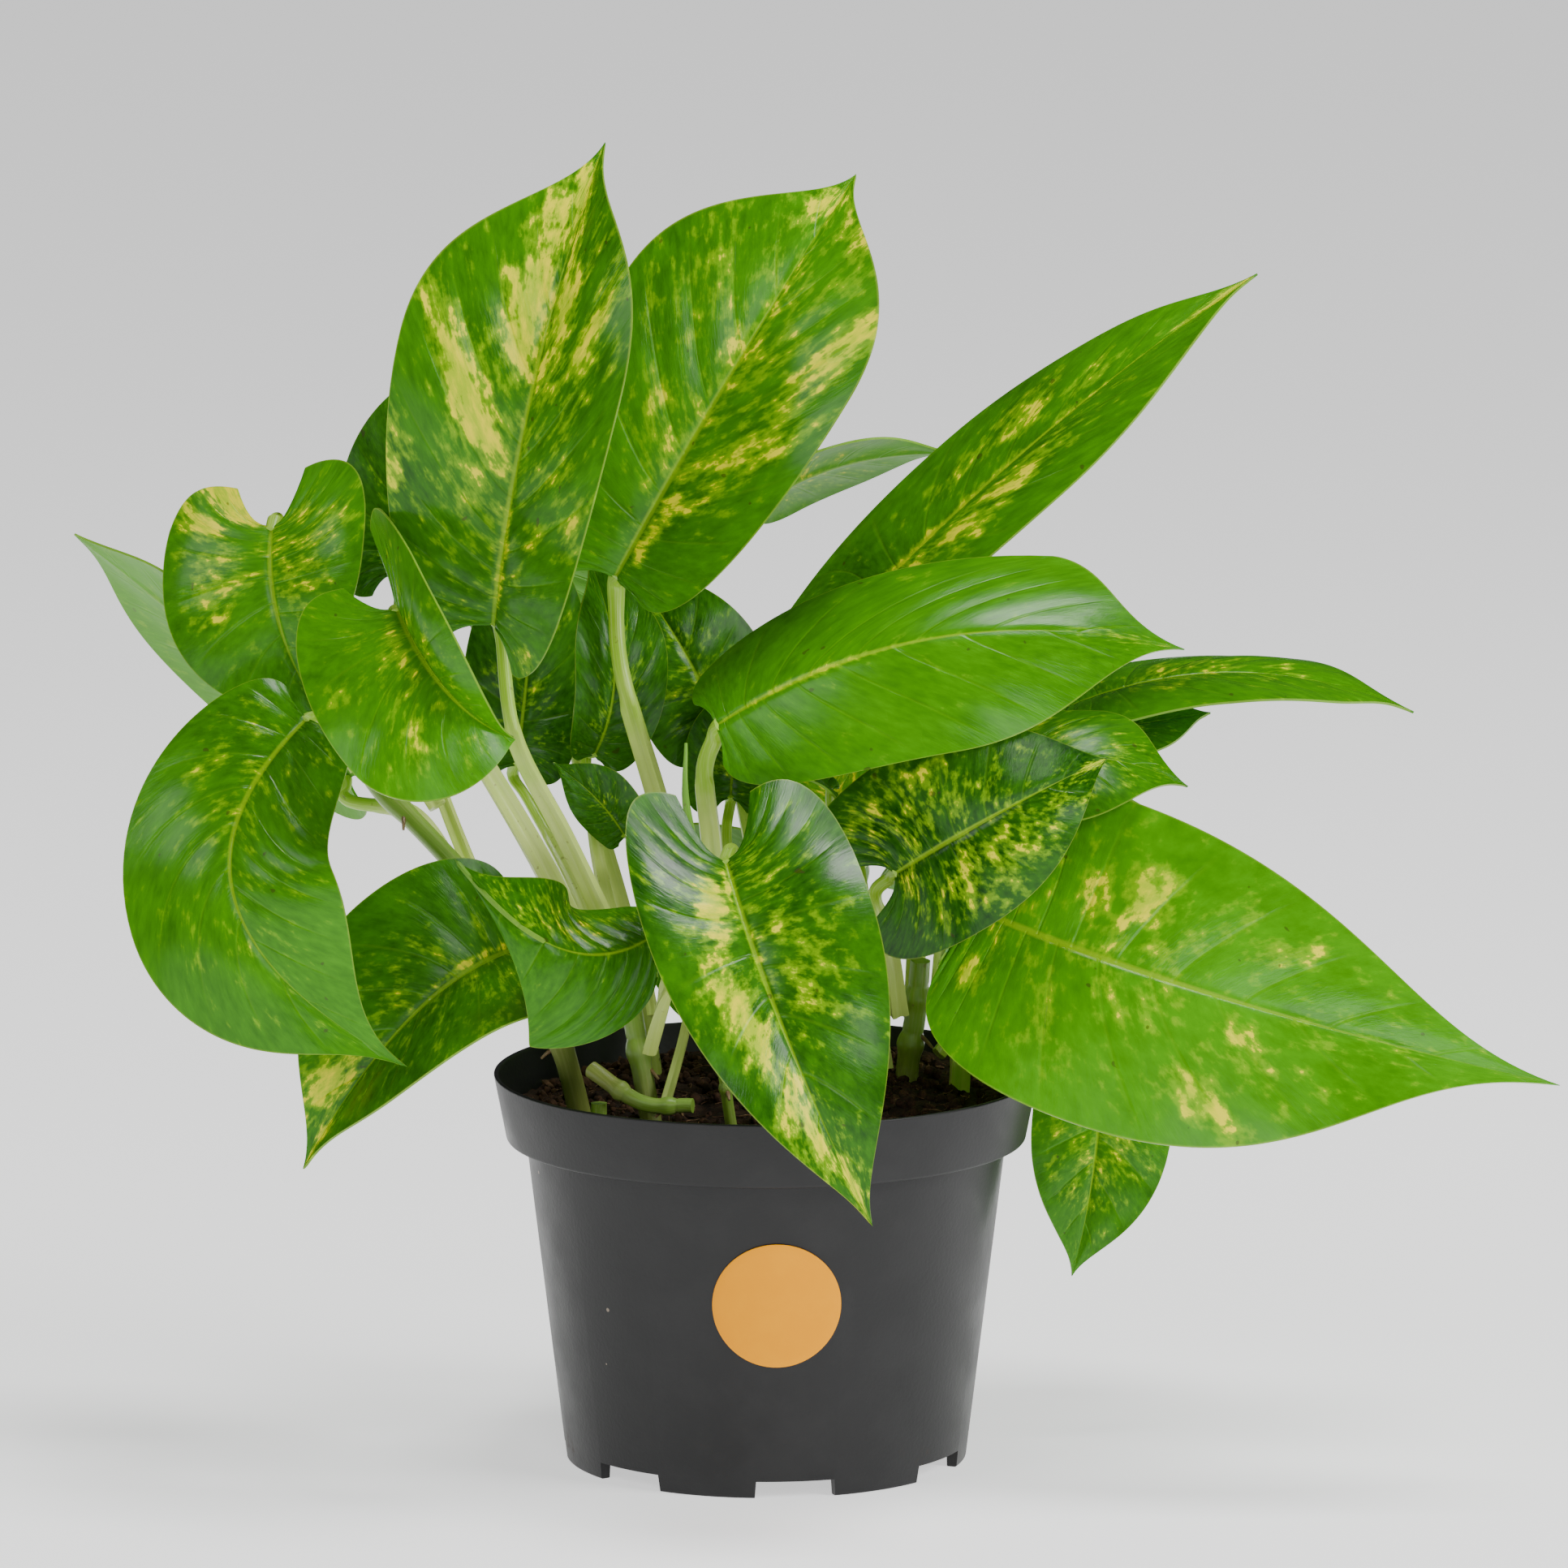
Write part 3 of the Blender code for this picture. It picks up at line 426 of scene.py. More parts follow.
def sticker_finish():
    surface, tree, shader = new_finish("yellow_paper", Specular_IOR_Level=0.05)
    place = add_node(tree, "TexCoord").outputs["Object"]
    broad, fibre = grain(tree, place, 90.0, 4.0), grain(tree, place, 2400.0, 3.0)
    shade = mixed(tree, ramp(tree, broad, 0.35, 0.65), (0.92, 0.35, 0.0), (0.95, 0.37, 0.0))
    wire(tree, shader, Base_Color=shade, Roughness=ramp(tree, broad, 0.3, 0.7, 0.42, 0.52))
    relief(tree, shader, fibre, 0.00003, 0.6)
    return surface


sticker = close_up(formed_grid("round_sticker", 96, 9, sticker_sheet))
finished(sticker, sticker_finish(), 50, "sticker_paper", "sticker")

# ---- Vines and stubs ----
# Rooted cuttings of the trailing stem, cut to one or two joints and stood in the mix. Each swells at
# its nodes, where old leaf scars ring it and short brown aerial roots stay; some are cut off bare.
# Each cutting: the points it runs through, its radius at either end, and where its nodes are.
CUTTINGS = {
    "vine_front": (((-30, -34, 92), (-34, -31, 115), (-39, -27, 144)), (3.0, 2.8), (0.55, 0.9)),
    "vine_centre": (((-6, -8, 92), (-9, -12, 125), (-13, -16, 152)), (3.2, 2.8), (0.5, 0.86)),
    "vine_right": (((38, 10, 92), (40, 6, 112), (42, 4, 126), (43, 2, 140)), (3.4, 2.8), (0.5, 0.78)),
    "vine_left": (((-50, -12, 92), (-56, -18, 118), (-64, -20, 138), (-82, -14, 165), (-110, -3, 193)),
                  (3.2, 2.6), (0.28, 0.62, 0.93)),
    "vine_back": (((6, 24, 92), (8, 26, 130), (9, 28, 155)), (3.2, 2.8), (0.45, 0.85)),
    "stub_left": (((-46, -40, 93), (-46, -40, 108)), (2.2, 2.2), (0.7,)),
    "stub_middle": (((-8, -42, 92), (-12, -46, 120)), (1.7, 1.5), (0.75,)),
    "stub_right": (((20, -30, 92), (23, -33, 110)), (1.8, 1.6), (0.7,)),
    "lying_stem": (((-48, -38, 117), (-34, -50, 110), (-20, -54, 110)), (2.4, 2.0), (0.35, 0.8)),
}
SHOOT = (((-18, -21, 146), (-18, -25, 165), (-22, -26, 190), (-22, -25, 206)), (2.4, 0.4))


def smooth_route(points, steps):
    """A Catmull-Rom curve through the points."""
    points = [np.asarray(p, float) for p in points]
    padded = [2 * points[0] - points[1], *points, 2 * points[-1] - points[-2]]
    route = []
    for before, start, end, after in zip(padded, padded[1:], padded[2:], padded[3:]):
        for t in (i / steps for i in range(steps)):
            route.append(0.5 * (2 * start + (end - before) * t
                                + (2 * before - 5 * start + 4 * end - after) * t * t
                                + (3 * start - before - 3 * end + after) * t ** 3))
    return np.array([*route, points[-1]])


def unit(vectors):
    vectors = np.asarray(vectors, float)
    return vectors / np.maximum(np.linalg.norm(vectors, axis=-1, keepdims=True), 1e-12)


def stem(name, points, radii, section, columns=14, rows=40, facing=(0.0, -1.0, 0.0)):
    """A grid rolled up along the points; section(angle, share) gives its radius as a factor."""
    route = smooth_route(points, 12)
    reach = np.concatenate(((0.0,), np.cumsum(np.linalg.norm(np.diff(route, axis=0), axis=1))))
    share = np.concatenate(((0.0,), np.linspace(0, 1, rows - 1), (1.0,)))
    centre = np.stack([np.interp(share * reach[-1], reach, route[:, k]) for k in range(3)], axis=1)
    ahead = unit(np.gradient(route, axis=0))
    ahead = unit(np.stack([np.interp(share * reach[-1], reach, ahead[:, k]) for k in range(3)], axis=1))
    side = unit(np.asarray(facing) - ahead * (ahead @ np.asarray(facing))[:, None])
    other = np.cross(ahead, side)

    def rolled(u, v):
        angle = 2 * math.pi * (u - 0.5)
        angle[:, -1] = angle[:, 0]
        along = np.broadcast_to(share[:, None], u.shape)
        radius = (radii[0] + (radii[1] - radii[0]) * along) * section(angle, along)
        radius[0] = radius[-1] = 0.0
        return (centre[:, None] + side[:, None] * (radius * np.cos(angle))[..., None]
                + other[:, None] * (radius * np.sin(angle))[..., None])

    return close_up(formed_grid(name, columns, rows, rolled))


def joined(name, parts):
    """One piece made of the parts, the first giving its materials' order."""
    select_only(*parts)
    bpy.ops.object.join()
    parts[0].name = parts[0].data.name = name
    return parts[0]


def round_section(angle, share):
    return np.ones_like(angle)


def knobbly(nodes, swell=0.28, ripple=0.04):
    """A stem's section: grooved lengthwise, swollen at its nodes, with a scar just above each."""
    def section(angle, share):
        size = 1.0 + ripple * np.cos(5 * angle + 3 * share)
        for at in nodes:
            size = size + swell * np.exp(-((share - at) / 0.05) ** 2)
            size = size - 0.10 * np.exp(-((share - at - 0.07) / 0.012) ** 2)
        return size
    return section


def minus(tree, first, second):
    return reckon(tree, "SUBTRACT", first, second)


def swayed(tree, value, noise_value, amount, clamp=False):
    """The value moved up and down by a noise."""
    return reckon(tree, "ADD", value, times(tree, minus(tree, noise_value, 0.5), amount), clamp)


def stalk_finish(name, low, high, scar, change=(0.45, 0.8)):
    """Stem skin: pale at its foot and greener up, with fine lengthwise lines and a low gloss."""
    surface, tree, shader = new_finish(name, IOR=1.42, Coat_Weight=0.12, Coat_Roughness=0.25)
    route = add_node(tree, "SeparateXYZ", {0: add_node(tree, "TexCoord").outputs["UV"]})
    around, along = route.outputs[0], route.outputs[1]
    place = add_node(tree, "TexCoord").outputs["Object"]
    broad = grain(tree, place, 70.0, 4.0)
    lines = grain(tree, add_node(tree, "CombineXYZ", {
        0: times(tree, around, 26.0), 1: times(tree, along, 5.0)}).outputs[0], 1.0, 3.0)
    shade = mixed(tree, ramp(tree, swayed(tree, along, broad, 0.5), *change), low, high)
    shade = mixed(tree, times(tree, ramp(tree, lines, 0.45, 0.75), 0.35), shade, scar)
    blemish = times(tree, ramp(tree, grain(tree, place, 420.0, 2.0), 0.68, 0.74), 0.5)
    shade = mixed(tree, blemish, shade, (0.16, 0.12, 0.04))
    wire(tree, shader, Base_Color=shade, Roughness=ramp(tree, broad, 0.3, 0.7, 0.30, 0.44))
    relief(tree, shader, lines, 0.0002, 0.5)
    return surface


vine_skin = stalk_finish("vine_skin", (0.20, 0.24, 0.05), (0.20, 0.36, 0.045),
                         (0.42, 0.46, 0.16), (0.2, 0.7))
root_skin = stalk_finish("aerial_root", (0.20, 0.12, 0.05), (0.30, 0.20, 0.09),
                         (0.10, 0.05, 0.02))

for name, (points, radii, nodes) in CUTTINGS.items():
    parts = [stem(name + "_skin", points, radii, knobbly(nodes), 20, 72)]
    parts[0].data.materials.append(vine_skin)
    chance = random.Random(len(name) * 7)
    route = smooth_route(points, 12)
    for at in nodes:
        start = route[int(at * (len(route) - 1))]
        for _ in range(2):
            turn = chance.uniform(0, 2 * math.pi)
            out = np.array((math.cos(turn), math.sin(turn), -0.5))
            route_out = (start, start + out * radii[0] * 1.1, start + out * radii[0] * 1.9 - (0, 0, 1.0))
            parts.append(stem(name + "_root", route_out, (0.9, 0.35), round_section, 8, 10))
            parts[-1].data.materials.append(root_skin)
    finished(joined(name + "_cutting", parts), None, 45, "vine_green", name)


def furled(angle, share):
    """The rolled young leaf: a round spike with one overlapping edge that winds up it."""
    return 1.0 + 0.16 * ((angle / (2 * math.pi) + 1.6 * share) % 1.0)


spike = stem("young_shoot", *SHOOT, furled, 24, 60)
furled_skin = stalk_finish("furled_leaf", (0.30, 0.42, 0.10), (0.16, 0.42, 0.03),
                           (0.45, 0.60, 0.15), (0.0, 0.4))
finished(spike, furled_skin, 40, "vine_green", "shoot")

# ---- Leaves ----
# Heart-shaped blades, glossy above and paler below, each grown in one piece with a channelled stalk
# whose lower two thirds is a pale winged sheath. Golden streaks follow the side veins to the edge.
LOBE_SPREAD, DRIP, BLADE_THICKNESS = 0.33, 0.16, 0.7
VEIN_STAGGER = 0.35       # how far the right half's side veins lie ahead of the left half's, in veins
SHEATH_END = 0.68         # where the sheath stops, as a share of the stalk
STALK_RADIUS, SLIM, THIN = (2.4, 1.8), (1.9, 1.4), (1.4, 1.0)
BLADE_ROWS, BLADE_COLUMNS, MIDRIB_CROWD = 96, 32, 1.6

# Each leaf: base, a point on the midrib half way, and tip; the way its upper face looks; then, for
# its left and right half seen from the face with the tip up, or as one number for both: width, belly
# (place of the widest part, a share of the length), lobe (reach behind the base), fold and curl in
# degrees. shoulder and drip shape the edge before and after the belly, and stalk is the route from
# the vine or the soil.
LEAVES = {
    "leaf_tall_left": dict(
        base=(-75, -28, 239), mid=(-63, -40, 309), tip=(-44, -14, 371), face=(-0.4, -0.9, 0.1),
        width=(39, 31), belly=(0.53, 0.5), lobe=(0.04, 0.06), fold=(22, 26), curl=(10, 20),
        shoulder=(0.3, 0.4), stalk=((-40, -27, 148), (-55, -28, 180), (-69, -30, 209))),
    "leaf_tall_right": dict(
        base=(-42, 0, 248), mid=(-6, 2, 311), tip=(25, 22, 358), face=(-0.4, -0.9, 0.15),
        width=(40, 36), belly=(0.5, 0.52), lobe=(0.04, 0.01), fold=(22, 14), curl=(20, 10),
        shoulder=(0.5, 0.42), stalk=((-20, -15, 140), (-24, -12, 165), (-30, -8, 188), (-40, -1, 222)),
        stalk_radius=(2.8, 2.1)),
    "leaf_long_right": dict(
        base=(20, 20, 231), mid=(77, 23, 285), tip=(137, 40, 328), face=(-0.62, -0.5, 0.6),
        width=(27, 26), belly=(0.4, 0.45), lobe=(0.12, 0.05), fold=15, curl=30,
        stalk=((9, 28, 159), (12, 27, 188), (14, 18, 211))),
    "leaf_saddle": dict(
        base=(-14, -25, 211), mid=(47, -34, 237), tip=(115, -30, 233), face=(-0.1, -0.75, 0.65),
        width=(34, 33), belly=(0.75, 0.5), lobe=(0.03, 0.02), fold=-8, curl=(25, 20), shoulder=(0.72, 0.4),
        stalk=((-14, -17, 156), (-15, -19, 176), (-17, -18, 196)), stalk_radius=(2.8, 2.3)),
    "leaf_far_right": dict(
        base=(84, 32, 207), mid=(133, 36, 216), tip=(182, 40, 204), face=(0.0, -0.15, 0.97),
        width=24, belly=0.45, lobe=0.1, fold=6, curl=20,
        stalk=((16, 29, 148), (40, 36, 180), (68, 34, 198))),
    "leaf_under_right": dict(
        base=(75, 40, 196), mid=(102, 42, 200), tip=(125, 45, 203), face=(0.1, -0.3, 0.9),
        width=17, belly=0.4, lobe=0.08, fold=5, curl=20,
        stalk=((48, 8, 132), (52, 24, 165), (62, 36, 186)), stalk_radius=SLIM),
    "leaf_behind_speckled": dict(
        base=(53, -7, 189), mid=(84, -11, 200), tip=(117, -8, 191), face=(0.0, -0.6, 0.8),
        width=(20, 24), belly=(0.6, 0.4), lobe=0.08, fold=5, curl=20,
        stalk=((43, 2, 144), (46, 0, 162), (48, -2, 177)), stalk_radius=SLIM),
    "leaf_speckled": dict(
        base=(35, -35, 171), mid=(66, -44, 191), tip=(94, -38, 204), face=(0.1, -0.9, 0.3),
        width=(29, 26), belly=(0.25, 0.2), lobe=(0.2, 0.16), fold=10, curl=25,
        stalk=((37, -2, 126), (34, -14, 148), (30, -24, 163))),
    "leaf_large_right": dict(
        base=(57, -25, 160), mid=(126, -43, 138), tip=(218, -50, 115), face=(0.1, -0.9, 0.4),
        width=(45, 47), belly=(0.22, 0.33), lobe=(0.07, 0.0), fold=5, curl=10, drip=(0.24, 0.26),
        stalk=((53, -4, 92), (54, -4, 115), (51, -8, 142)), stalk_radius=(2.8, 2.1)),
    "leaf_front_heart": dict(
        base=(-11, -62, 180), mid=(5, -96, 139), tip=(29, -100, 86), face=(0.0, -0.9, 0.3),
        width=(35, 28), belly=(0.22, 0.15), lobe=(0.17, 0.2), fold=(15, 25), curl=(30, 20),
        stalk=((-6, -21, 136), (-6, -30, 158), (-9, -45, 179))),
    "leaf_hanging_right": dict(
        base=(94, 24, 107), mid=(92, 19, 77), tip=(86, 16, 47), face=(0.1, -0.9, 0.1),
        width=(21, 19), belly=0.3, lobe=0.1, fold=10, curl=20,
        stalk=((48, 4, 113), (66, 17, 131), (86, 30, 123)), stalk_radius=SLIM),
    "leaf_two_lobed": dict(
        base=(-137, 4, 262), mid=(-134, -6, 234), tip=(-120, -1, 206), face=(-0.2, -0.9, 0.3),
        width=(30, 32), belly=(0.05, 0.25), lobe=(0.24, 0.17), fold=(30, 5), curl=(30, 20),
        drip=(0.35, 0.16), stalk=((-91, -6, 185), (-108, 4, 210), (-134, 17, 248))),
    "leaf_folded_left": dict(
        base=(-101, -40, 246), mid=(-86, -64, 226), tip=(-68, -61, 213), face=(-0.1, -0.8, 0.5),
        width=(20, 34), belly=(0.2, 0.5), lobe=(0.28, 0.16), fold=(82, 5), curl=(40, 15), drip=(0.3, 0.1),
        stalk=((-45, -32, 138), (-62, -30, 174), (-84, -29, 212), (-98, -24, 237)),
        stalk_radius=(3.3, 2.2)),
    "leaf_far_left": dict(
        base=(-116, 24, 188), mid=(-157, 28, 227), tip=(-193, 31, 256), face=(0.35, 0.45, 0.7),
        width=(28, 30), belly=0.4, lobe=0.08, fold=5, curl=20, stalk=((-86, -4, 166), (-98, 8, 180))),
    "leaf_drooping": dict(
        base=(-126, -30, 214), mid=(-145, -58, 168), tip=(-98, -60, 122), face=(-0.35, -0.9, 0.2),
        width=(30, 32), belly=(0.55, 0.5), lobe=0.02, fold=10, curl=20, shoulder=0.4,
        stalk=((-113, -3, 196), (-119, -8, 206))),
    "leaf_low_left": dict(
        base=(-67, -30, 150), mid=(-98, -36, 131), tip=(-128, -33, 88), face=(-0.65, -0.7, 0.15),
        width=(32, 33), belly=(0.35, 0.4), lobe=(0.06, 0.0), fold=(32, 30), curl=10,
        stalk=((-56, -27, 126), (-54, -31, 142)), stalk_radius=SLIM),
    "leaf_flap": dict(
        base=(-29, -49, 158), mid=(-56, -64, 156), tip=(-85, -54, 179), face=(0.0, -0.35, 0.9),
        width=(29, 24), belly=(0.48, 0.6), lobe=(-0.08, 0.05), fold=(-62, 10), curl=(20, 10),
        shoulder=(0.04, 0.5), drip=(0.5, 0.16), stalk=((-32, -38, 122), (-27, -46, 142)),
        stalk_radius=SLIM),
    "leaf_small_front": dict(
        base=(-21, -32, 151), mid=(-12, -38, 140), tip=(-3, -44, 123), face=(-0.1, -0.9, 0.3),
        width=(12, 15), belly=(0.3, 0.35), lobe=(0.1, 0.2), fold=8, curl=15,
        stalk=((-28, -37, 106), (-22, -31, 128), (-21, -30, 143)), stalk_radius=THIN),
    "leaf_dark_back_left": dict(
        base=(-104, 30, 244), mid=(-101, 34, 274), tip=(-95, 42, 304), face=(-0.3, -0.9, 0.1),
        width=(18, 16), belly=0.35, lobe=0.1, fold=10, curl=15,
        stalk=((-78, -7, 158), (-92, 14, 190), (-102, 28, 226)), stalk_radius=SLIM),
    "leaf_dark_centre_left": dict(
        base=(-70, 30, 190), mid=(-66, 32, 226), tip=(-64, 38, 262), face=(0.1, -0.9, 0.1),
        width=(18, 17), belly=0.35, lobe=0.05, fold=10, curl=15,
        stalk=((-40, -21, 126), (-52, 0, 158), (-66, 26, 180)), stalk_radius=SLIM),
    "leaf_upright_centre": dict(
        base=(-48, 10, 196), mid=(-42, 7, 223), tip=(-50, 20, 252), face=(0.3, -0.9, 0.1),
        width=(12, 15), belly=0.5, lobe=0.03, fold=15, curl=15, shoulder=0.4,
        stalk=((-38, -20, 138), (-46, -4, 166), (-49, 9, 184)), stalk_radius=SLIM),
    "leaf_dark_centre": dict(
        base=(-13, 32, 200), mid=(-24, 33, 224), tip=(-41, 42, 247), face=(0.1, -0.9, 0.2),
        width=20, belly=0.3, lobe=0.12, fold=10, curl=15,
        stalk=((1, 27, 138), (-4, 33, 165), (-9, 37, 188)), stalk_radius=SLIM),
    "leaf_dark_round": dict(
        base=(-10, 28, 181), mid=(-8, 25, 199), tip=(-3, 30, 217), face=(0.0, -0.9, 0.2),
        width=14, belly=0.35, lobe=0.1, fold=10, curl=15,
        stalk=((2, 21, 120), (-6, 23, 145), (-11, 28, 168)), stalk_radius=SLIM),
    "leaf_small_left": dict(
        base=(-39, -7, 176), mid=(-47, -11, 188), tip=(-59, -10, 198), face=(-0.3, -0.8, 0.3),
        width=(8, 10), belly=0.4, lobe=0.05, fold=10, curl=10,
        stalk=((-31, -27, 130), (-35, -16, 152), (-32, -8, 168)), stalk_radius=THIN),
    "leaf_edge_on": dict(
        base=(-4, 60, 259), mid=(22, 58, 272), tip=(53, 58, 275), face=(-0.25, 0.5, 0.83),
        width=18, belly=0.3, lobe=0.05, fold=10, curl=25,
        stalk=((9, 35, 146), (-8, 48, 195), (-20, 57, 222), (-17, 60, 244)), stalk_radius=SLIM),
    "leaf_backlit": dict(
        base=(24, 9, 177), mid=(15, 8, 197), tip=(7, 12, 217), face=(0.2, -0.9, 0.1),
        width=12, belly=0.4, lobe=0.05, fold=10, curl=15,
        stalk=((34, 9, 108), (30, 10, 135), (27, 10, 162)), stalk_radius=THIN),
    "leaf_tiny": dict(
        base=(19, -19, 192), mid=(9, -21, 198), tip=(-2, -21, 196), face=(0.1, -0.3, 0.95),
        width=6, belly=0.4, lobe=0.05, fold=10, curl=10,
        stalk=((-4, -12, 128), (8, -14, 155), (21, -15, 180)), stalk_radius=THIN),
    "leaf_back_low": dict(
        base=(2, 72, 158), mid=(-4, 104, 130), tip=(-8, 112, 78), face=(0.0, 0.9, 0.35),
        width=30, belly=0.25, lobe=0.15, fold=15, curl=25,
        stalk=((7, 33, 112), (5, 44, 140), (3, 58, 156))),
    "leaf_back_right": dict(
        base=(50, 55, 165), mid=(92, 76, 160), tip=(122, 84, 132), face=(0.3, 0.7, 0.6),
        width=30, belly=0.3, lobe=0.12, fold=10, curl=25,
        stalk=((41, 13, 122), (42, 30, 145), (42, 46, 160))),
    "leaf_back_tall": dict(
        base=(-62, 55, 235), mid=(-70, 72, 282), tip=(-72, 66, 330), face=(-0.2, 0.95, 0.1),
        width=28, belly=0.3, lobe=0.12, fold=12, curl=25,
        stalk=((-30, 22, 92), (-38, 30, 140), (-54, 40, 195), (-60, 46, 224))),
    "leaf_back_middle": dict(
        base=(25, 55, 205), mid=(58, 78, 224), tip=(88, 98, 222), face=(0.0, 0.6, 0.8),
        width=24, belly=0.3, lobe=0.12, fold=8, curl=25,
        stalk=((15, 33, 134), (16, 42, 170), (19, 50, 194))),
}

# How each leaf has grown: tone from dark to bright green, number of side veins, how deep they lie,
# how far the edge waves, and its golden patches: place across (-1 left edge, 1 right edge) and along,
# spread across and along, and strength. The tone of leaf_backlit and leaf_far_left is raised to paint
# the glow of light shining through them from behind.
GROWTH = {
    "leaf_tall_left": (0.42, 11, 0.22, 0.8, (
        (-0.45, 0.585, 0.55, 0.045, 1.2), (-0.3, 0.78, 0.38, 0.1, 1.2), (-0.6, 0.86, 0.5, 0.08, 0.9),
        (0.3, 0.8, 0.36, 0.12, 0.95), (0.7, 0.66, 0.35, 0.05, 0.95), (-0.95, 0.36, 0.12, 0.06, 1.0),
        (0.03, 0.4, 0.07, 0.3, 0.9), (-0.2, 0.94, 1.0, 0.06, 1.0), (0.8, 0.12, 0.2, 0.06, 0.7),
        (0.85, 0.4, 0.15, 0.05, 0.8), (0.0, 0.6, 1.0, 0.5, 0.44))),
    "leaf_tall_right": (0.5, 11, 0.2, 0.8, (
        (0.85, 0.6, 0.35, 0.06, 1.0), (0.45, 0.5, 0.45, 0.12, 0.66), (0.12, 0.36, 0.14, 0.2, 0.78),
        (-0.65, 0.92, 0.5, 0.05, 1.0), (0.9, 0.86, 0.15, 0.2, 0.75), (-0.35, 0.52, 0.12, 0.05, 0.85),
        (0.4, 0.68, 0.5, 0.12, 0.5), (0.0, 0.96, 1.0, 0.05, 0.75), (0.0, 0.7, 1.0, 0.4, 0.5))),
    "leaf_long_right": (0.5, 12, 0.16, 1.0, (
        (0.0, 0.5, 0.08, 0.45, 0.8), (0.35, 0.5, 0.3, 0.3, 0.7), (0.0, 0.97, 1.0, 0.06, 1.1),
        (-0.45, 0.66, 0.35, 0.22, 0.55))),
    "leaf_saddle": (0.55, 10, 0.15, 0.6, ((0.0, 0.45, 0.04, 0.3, 0.8), (0.0, 0.95, 0.8, 0.05, 0.5))),
    "leaf_far_right": (0.55, 9, 0.2, 1.0, ((0.0, 0.6, 0.6, 0.3, 0.5),)),
    "leaf_under_right": (0.45, 8, 0.15, 0.6, ((0.2, 0.6, 0.6, 0.3, 0.5),)),
    "leaf_behind_speckled": (0.4, 9, 0.1, 0.8, ((0.0, 0.6, 0.9, 0.4, 0.55),)),
    "leaf_speckled": (0.2, 9, 0.12, 0.8, (
        (0.45, 0.62, 0.6, 0.4, 0.56), (0.3, 0.25, 0.4, 0.12, 0.6), (-0.5, 0.4, 0.6, 0.4, 0.5),
        (0.0, 0.97, 0.9, 0.05, 1.0))),
    "leaf_large_right": (0.68, 12, 0.2, 0.8, (
        (-0.5, 0.56, 0.28, 0.03, 1.05), (-0.36, 0.5, 0.2, 0.03, 0.8), (-0.18, 0.62, 0.1, 0.05, 0.7),
        (0.75, 0.63, 0.22, 0.035, 1.0), (0.45, 0.27, 0.15, 0.07, 0.95), (0.35, 0.72, 0.3, 0.03, 0.65),
        (-0.6, 0.72, 0.3, 0.04, 0.6), (0.0, 0.5, 0.9, 0.5, 0.36))),
    "leaf_front_heart": (0.26, 10, 0.13, 0.7, (
        (0.28, 0.42, 0.2, 0.15, 1.15), (0.07, 0.34, 0.06, 0.14, 1.0), (0.42, 0.66, 0.3, 0.14, 1.05),
        (0.5, 0.84, 0.6, 0.1, 0.95), (-0.35, 0.62, 0.28, 0.08, 0.7), (-0.3, 0.42, 0.12, 0.05, 0.7),
        (0.0, 0.95, 1.0, 0.06, 1.0), (0.0, 0.5, 1.0, 0.5, 0.38))),
    "leaf_hanging_right": (0.5, 8, 0.15, 0.6, ((0.0, 0.5, 0.9, 0.45, 0.58), (0.5, 0.35, 0.3, 0.2, 0.7))),
    "leaf_two_lobed": (0.5, 9, 0.12, 0.6, (
        (0.72, 0.05, 0.6, 0.13, 1.5), (0.75, 0.3, 0.35, 0.07, 1.05), (0.45, 0.48, 0.4, 0.12, 0.75),
        (-0.5, 0.2, 0.3, 0.1, 0.6), (-0.3, 0.45, 0.7, 0.4, 0.5))),
    "leaf_folded_left": (0.6, 9, 0.12, 0.5, (
        (0.14, 0.4, 0.08, 0.25, 0.8), (0.6, 0.66, 0.25, 0.06, 0.8), (0.0, 0.5, 1.0, 0.4, 0.32))),
    # Its high tone of 0.8 is partly painted glow of light shining through the blade from behind.
    "leaf_far_left": (0.8, 9, 0.15, 0.6, ((0.0, 0.6, 0.9, 0.3, 0.5),)),
    "leaf_drooping": (0.5, 10, 0.2, 0.8, ((0.55, 0.4, 0.25, 0.03, 0.75), (0.0, 0.5, 1.0, 0.5, 0.24))),
    "leaf_low_left": (0.42, 10, 0.18, 0.6, (
        (0.06, 0.45, 0.05, 0.3, 0.85), (0.6, 0.84, 0.5, 0.1, 1.0), (-0.1, 0.96, 0.9, 0.06, 0.9),
        (0.0, 0.5, 1.0, 0.4, 0.3))),
    "leaf_flap": (0.4, 9, 0.3, 0.4, ((0.5, 0.6, 0.5, 0.4, 0.5),)),
    "leaf_small_front": (0.3, 7, 0.12, 0.3, ((0.0, 0.6, 0.8, 0.3, 0.35),)),
    "leaf_edge_on": (0.75, 8, 0.15, 0.3, ((0.0, 0.5, 0.9, 0.4, 0.55),)),
    # Its tone of 0.95 paints the glow of light shining through the blade from behind.
    "leaf_backlit": (0.95, 7, 0.12, 0.3, ((0.0, 0.5, 0.9, 0.5, 0.72),)),
    "leaf_tiny": (0.7, 5, 0.1, 0.2, ()),
    "leaf_back_low": (0.45, 10, 0.25, 0.8, ((0.3, 0.5, 0.4, 0.2, 0.8), (0.0, 0.6, 0.9, 0.4, 0.35))),
    "leaf_back_right": (0.6, 10, 0.25, 0.8, ((-0.4, 0.6, 0.4, 0.25, 0.85), (0.2, 0.4, 0.5, 0.2, 0.45))),
    "leaf_back_tall": (0.5, 11, 0.22, 0.8, ((0.4, 0.65, 0.4, 0.2, 0.9), (-0.2, 0.8, 0.4, 0.2, 0.8))),
    "leaf_back_middle": (0.75, 9, 0.22, 0.8, ((0.0, 0.5, 0.3, 0.4, 0.6), (0.5, 0.7, 0.4, 0.2, 0.6))),
}
PLAIN_GROWTH = (0.30, 8, 0.2, 0.5, ((0.1, 0.6, 0.7, 0.3, 0.36),))


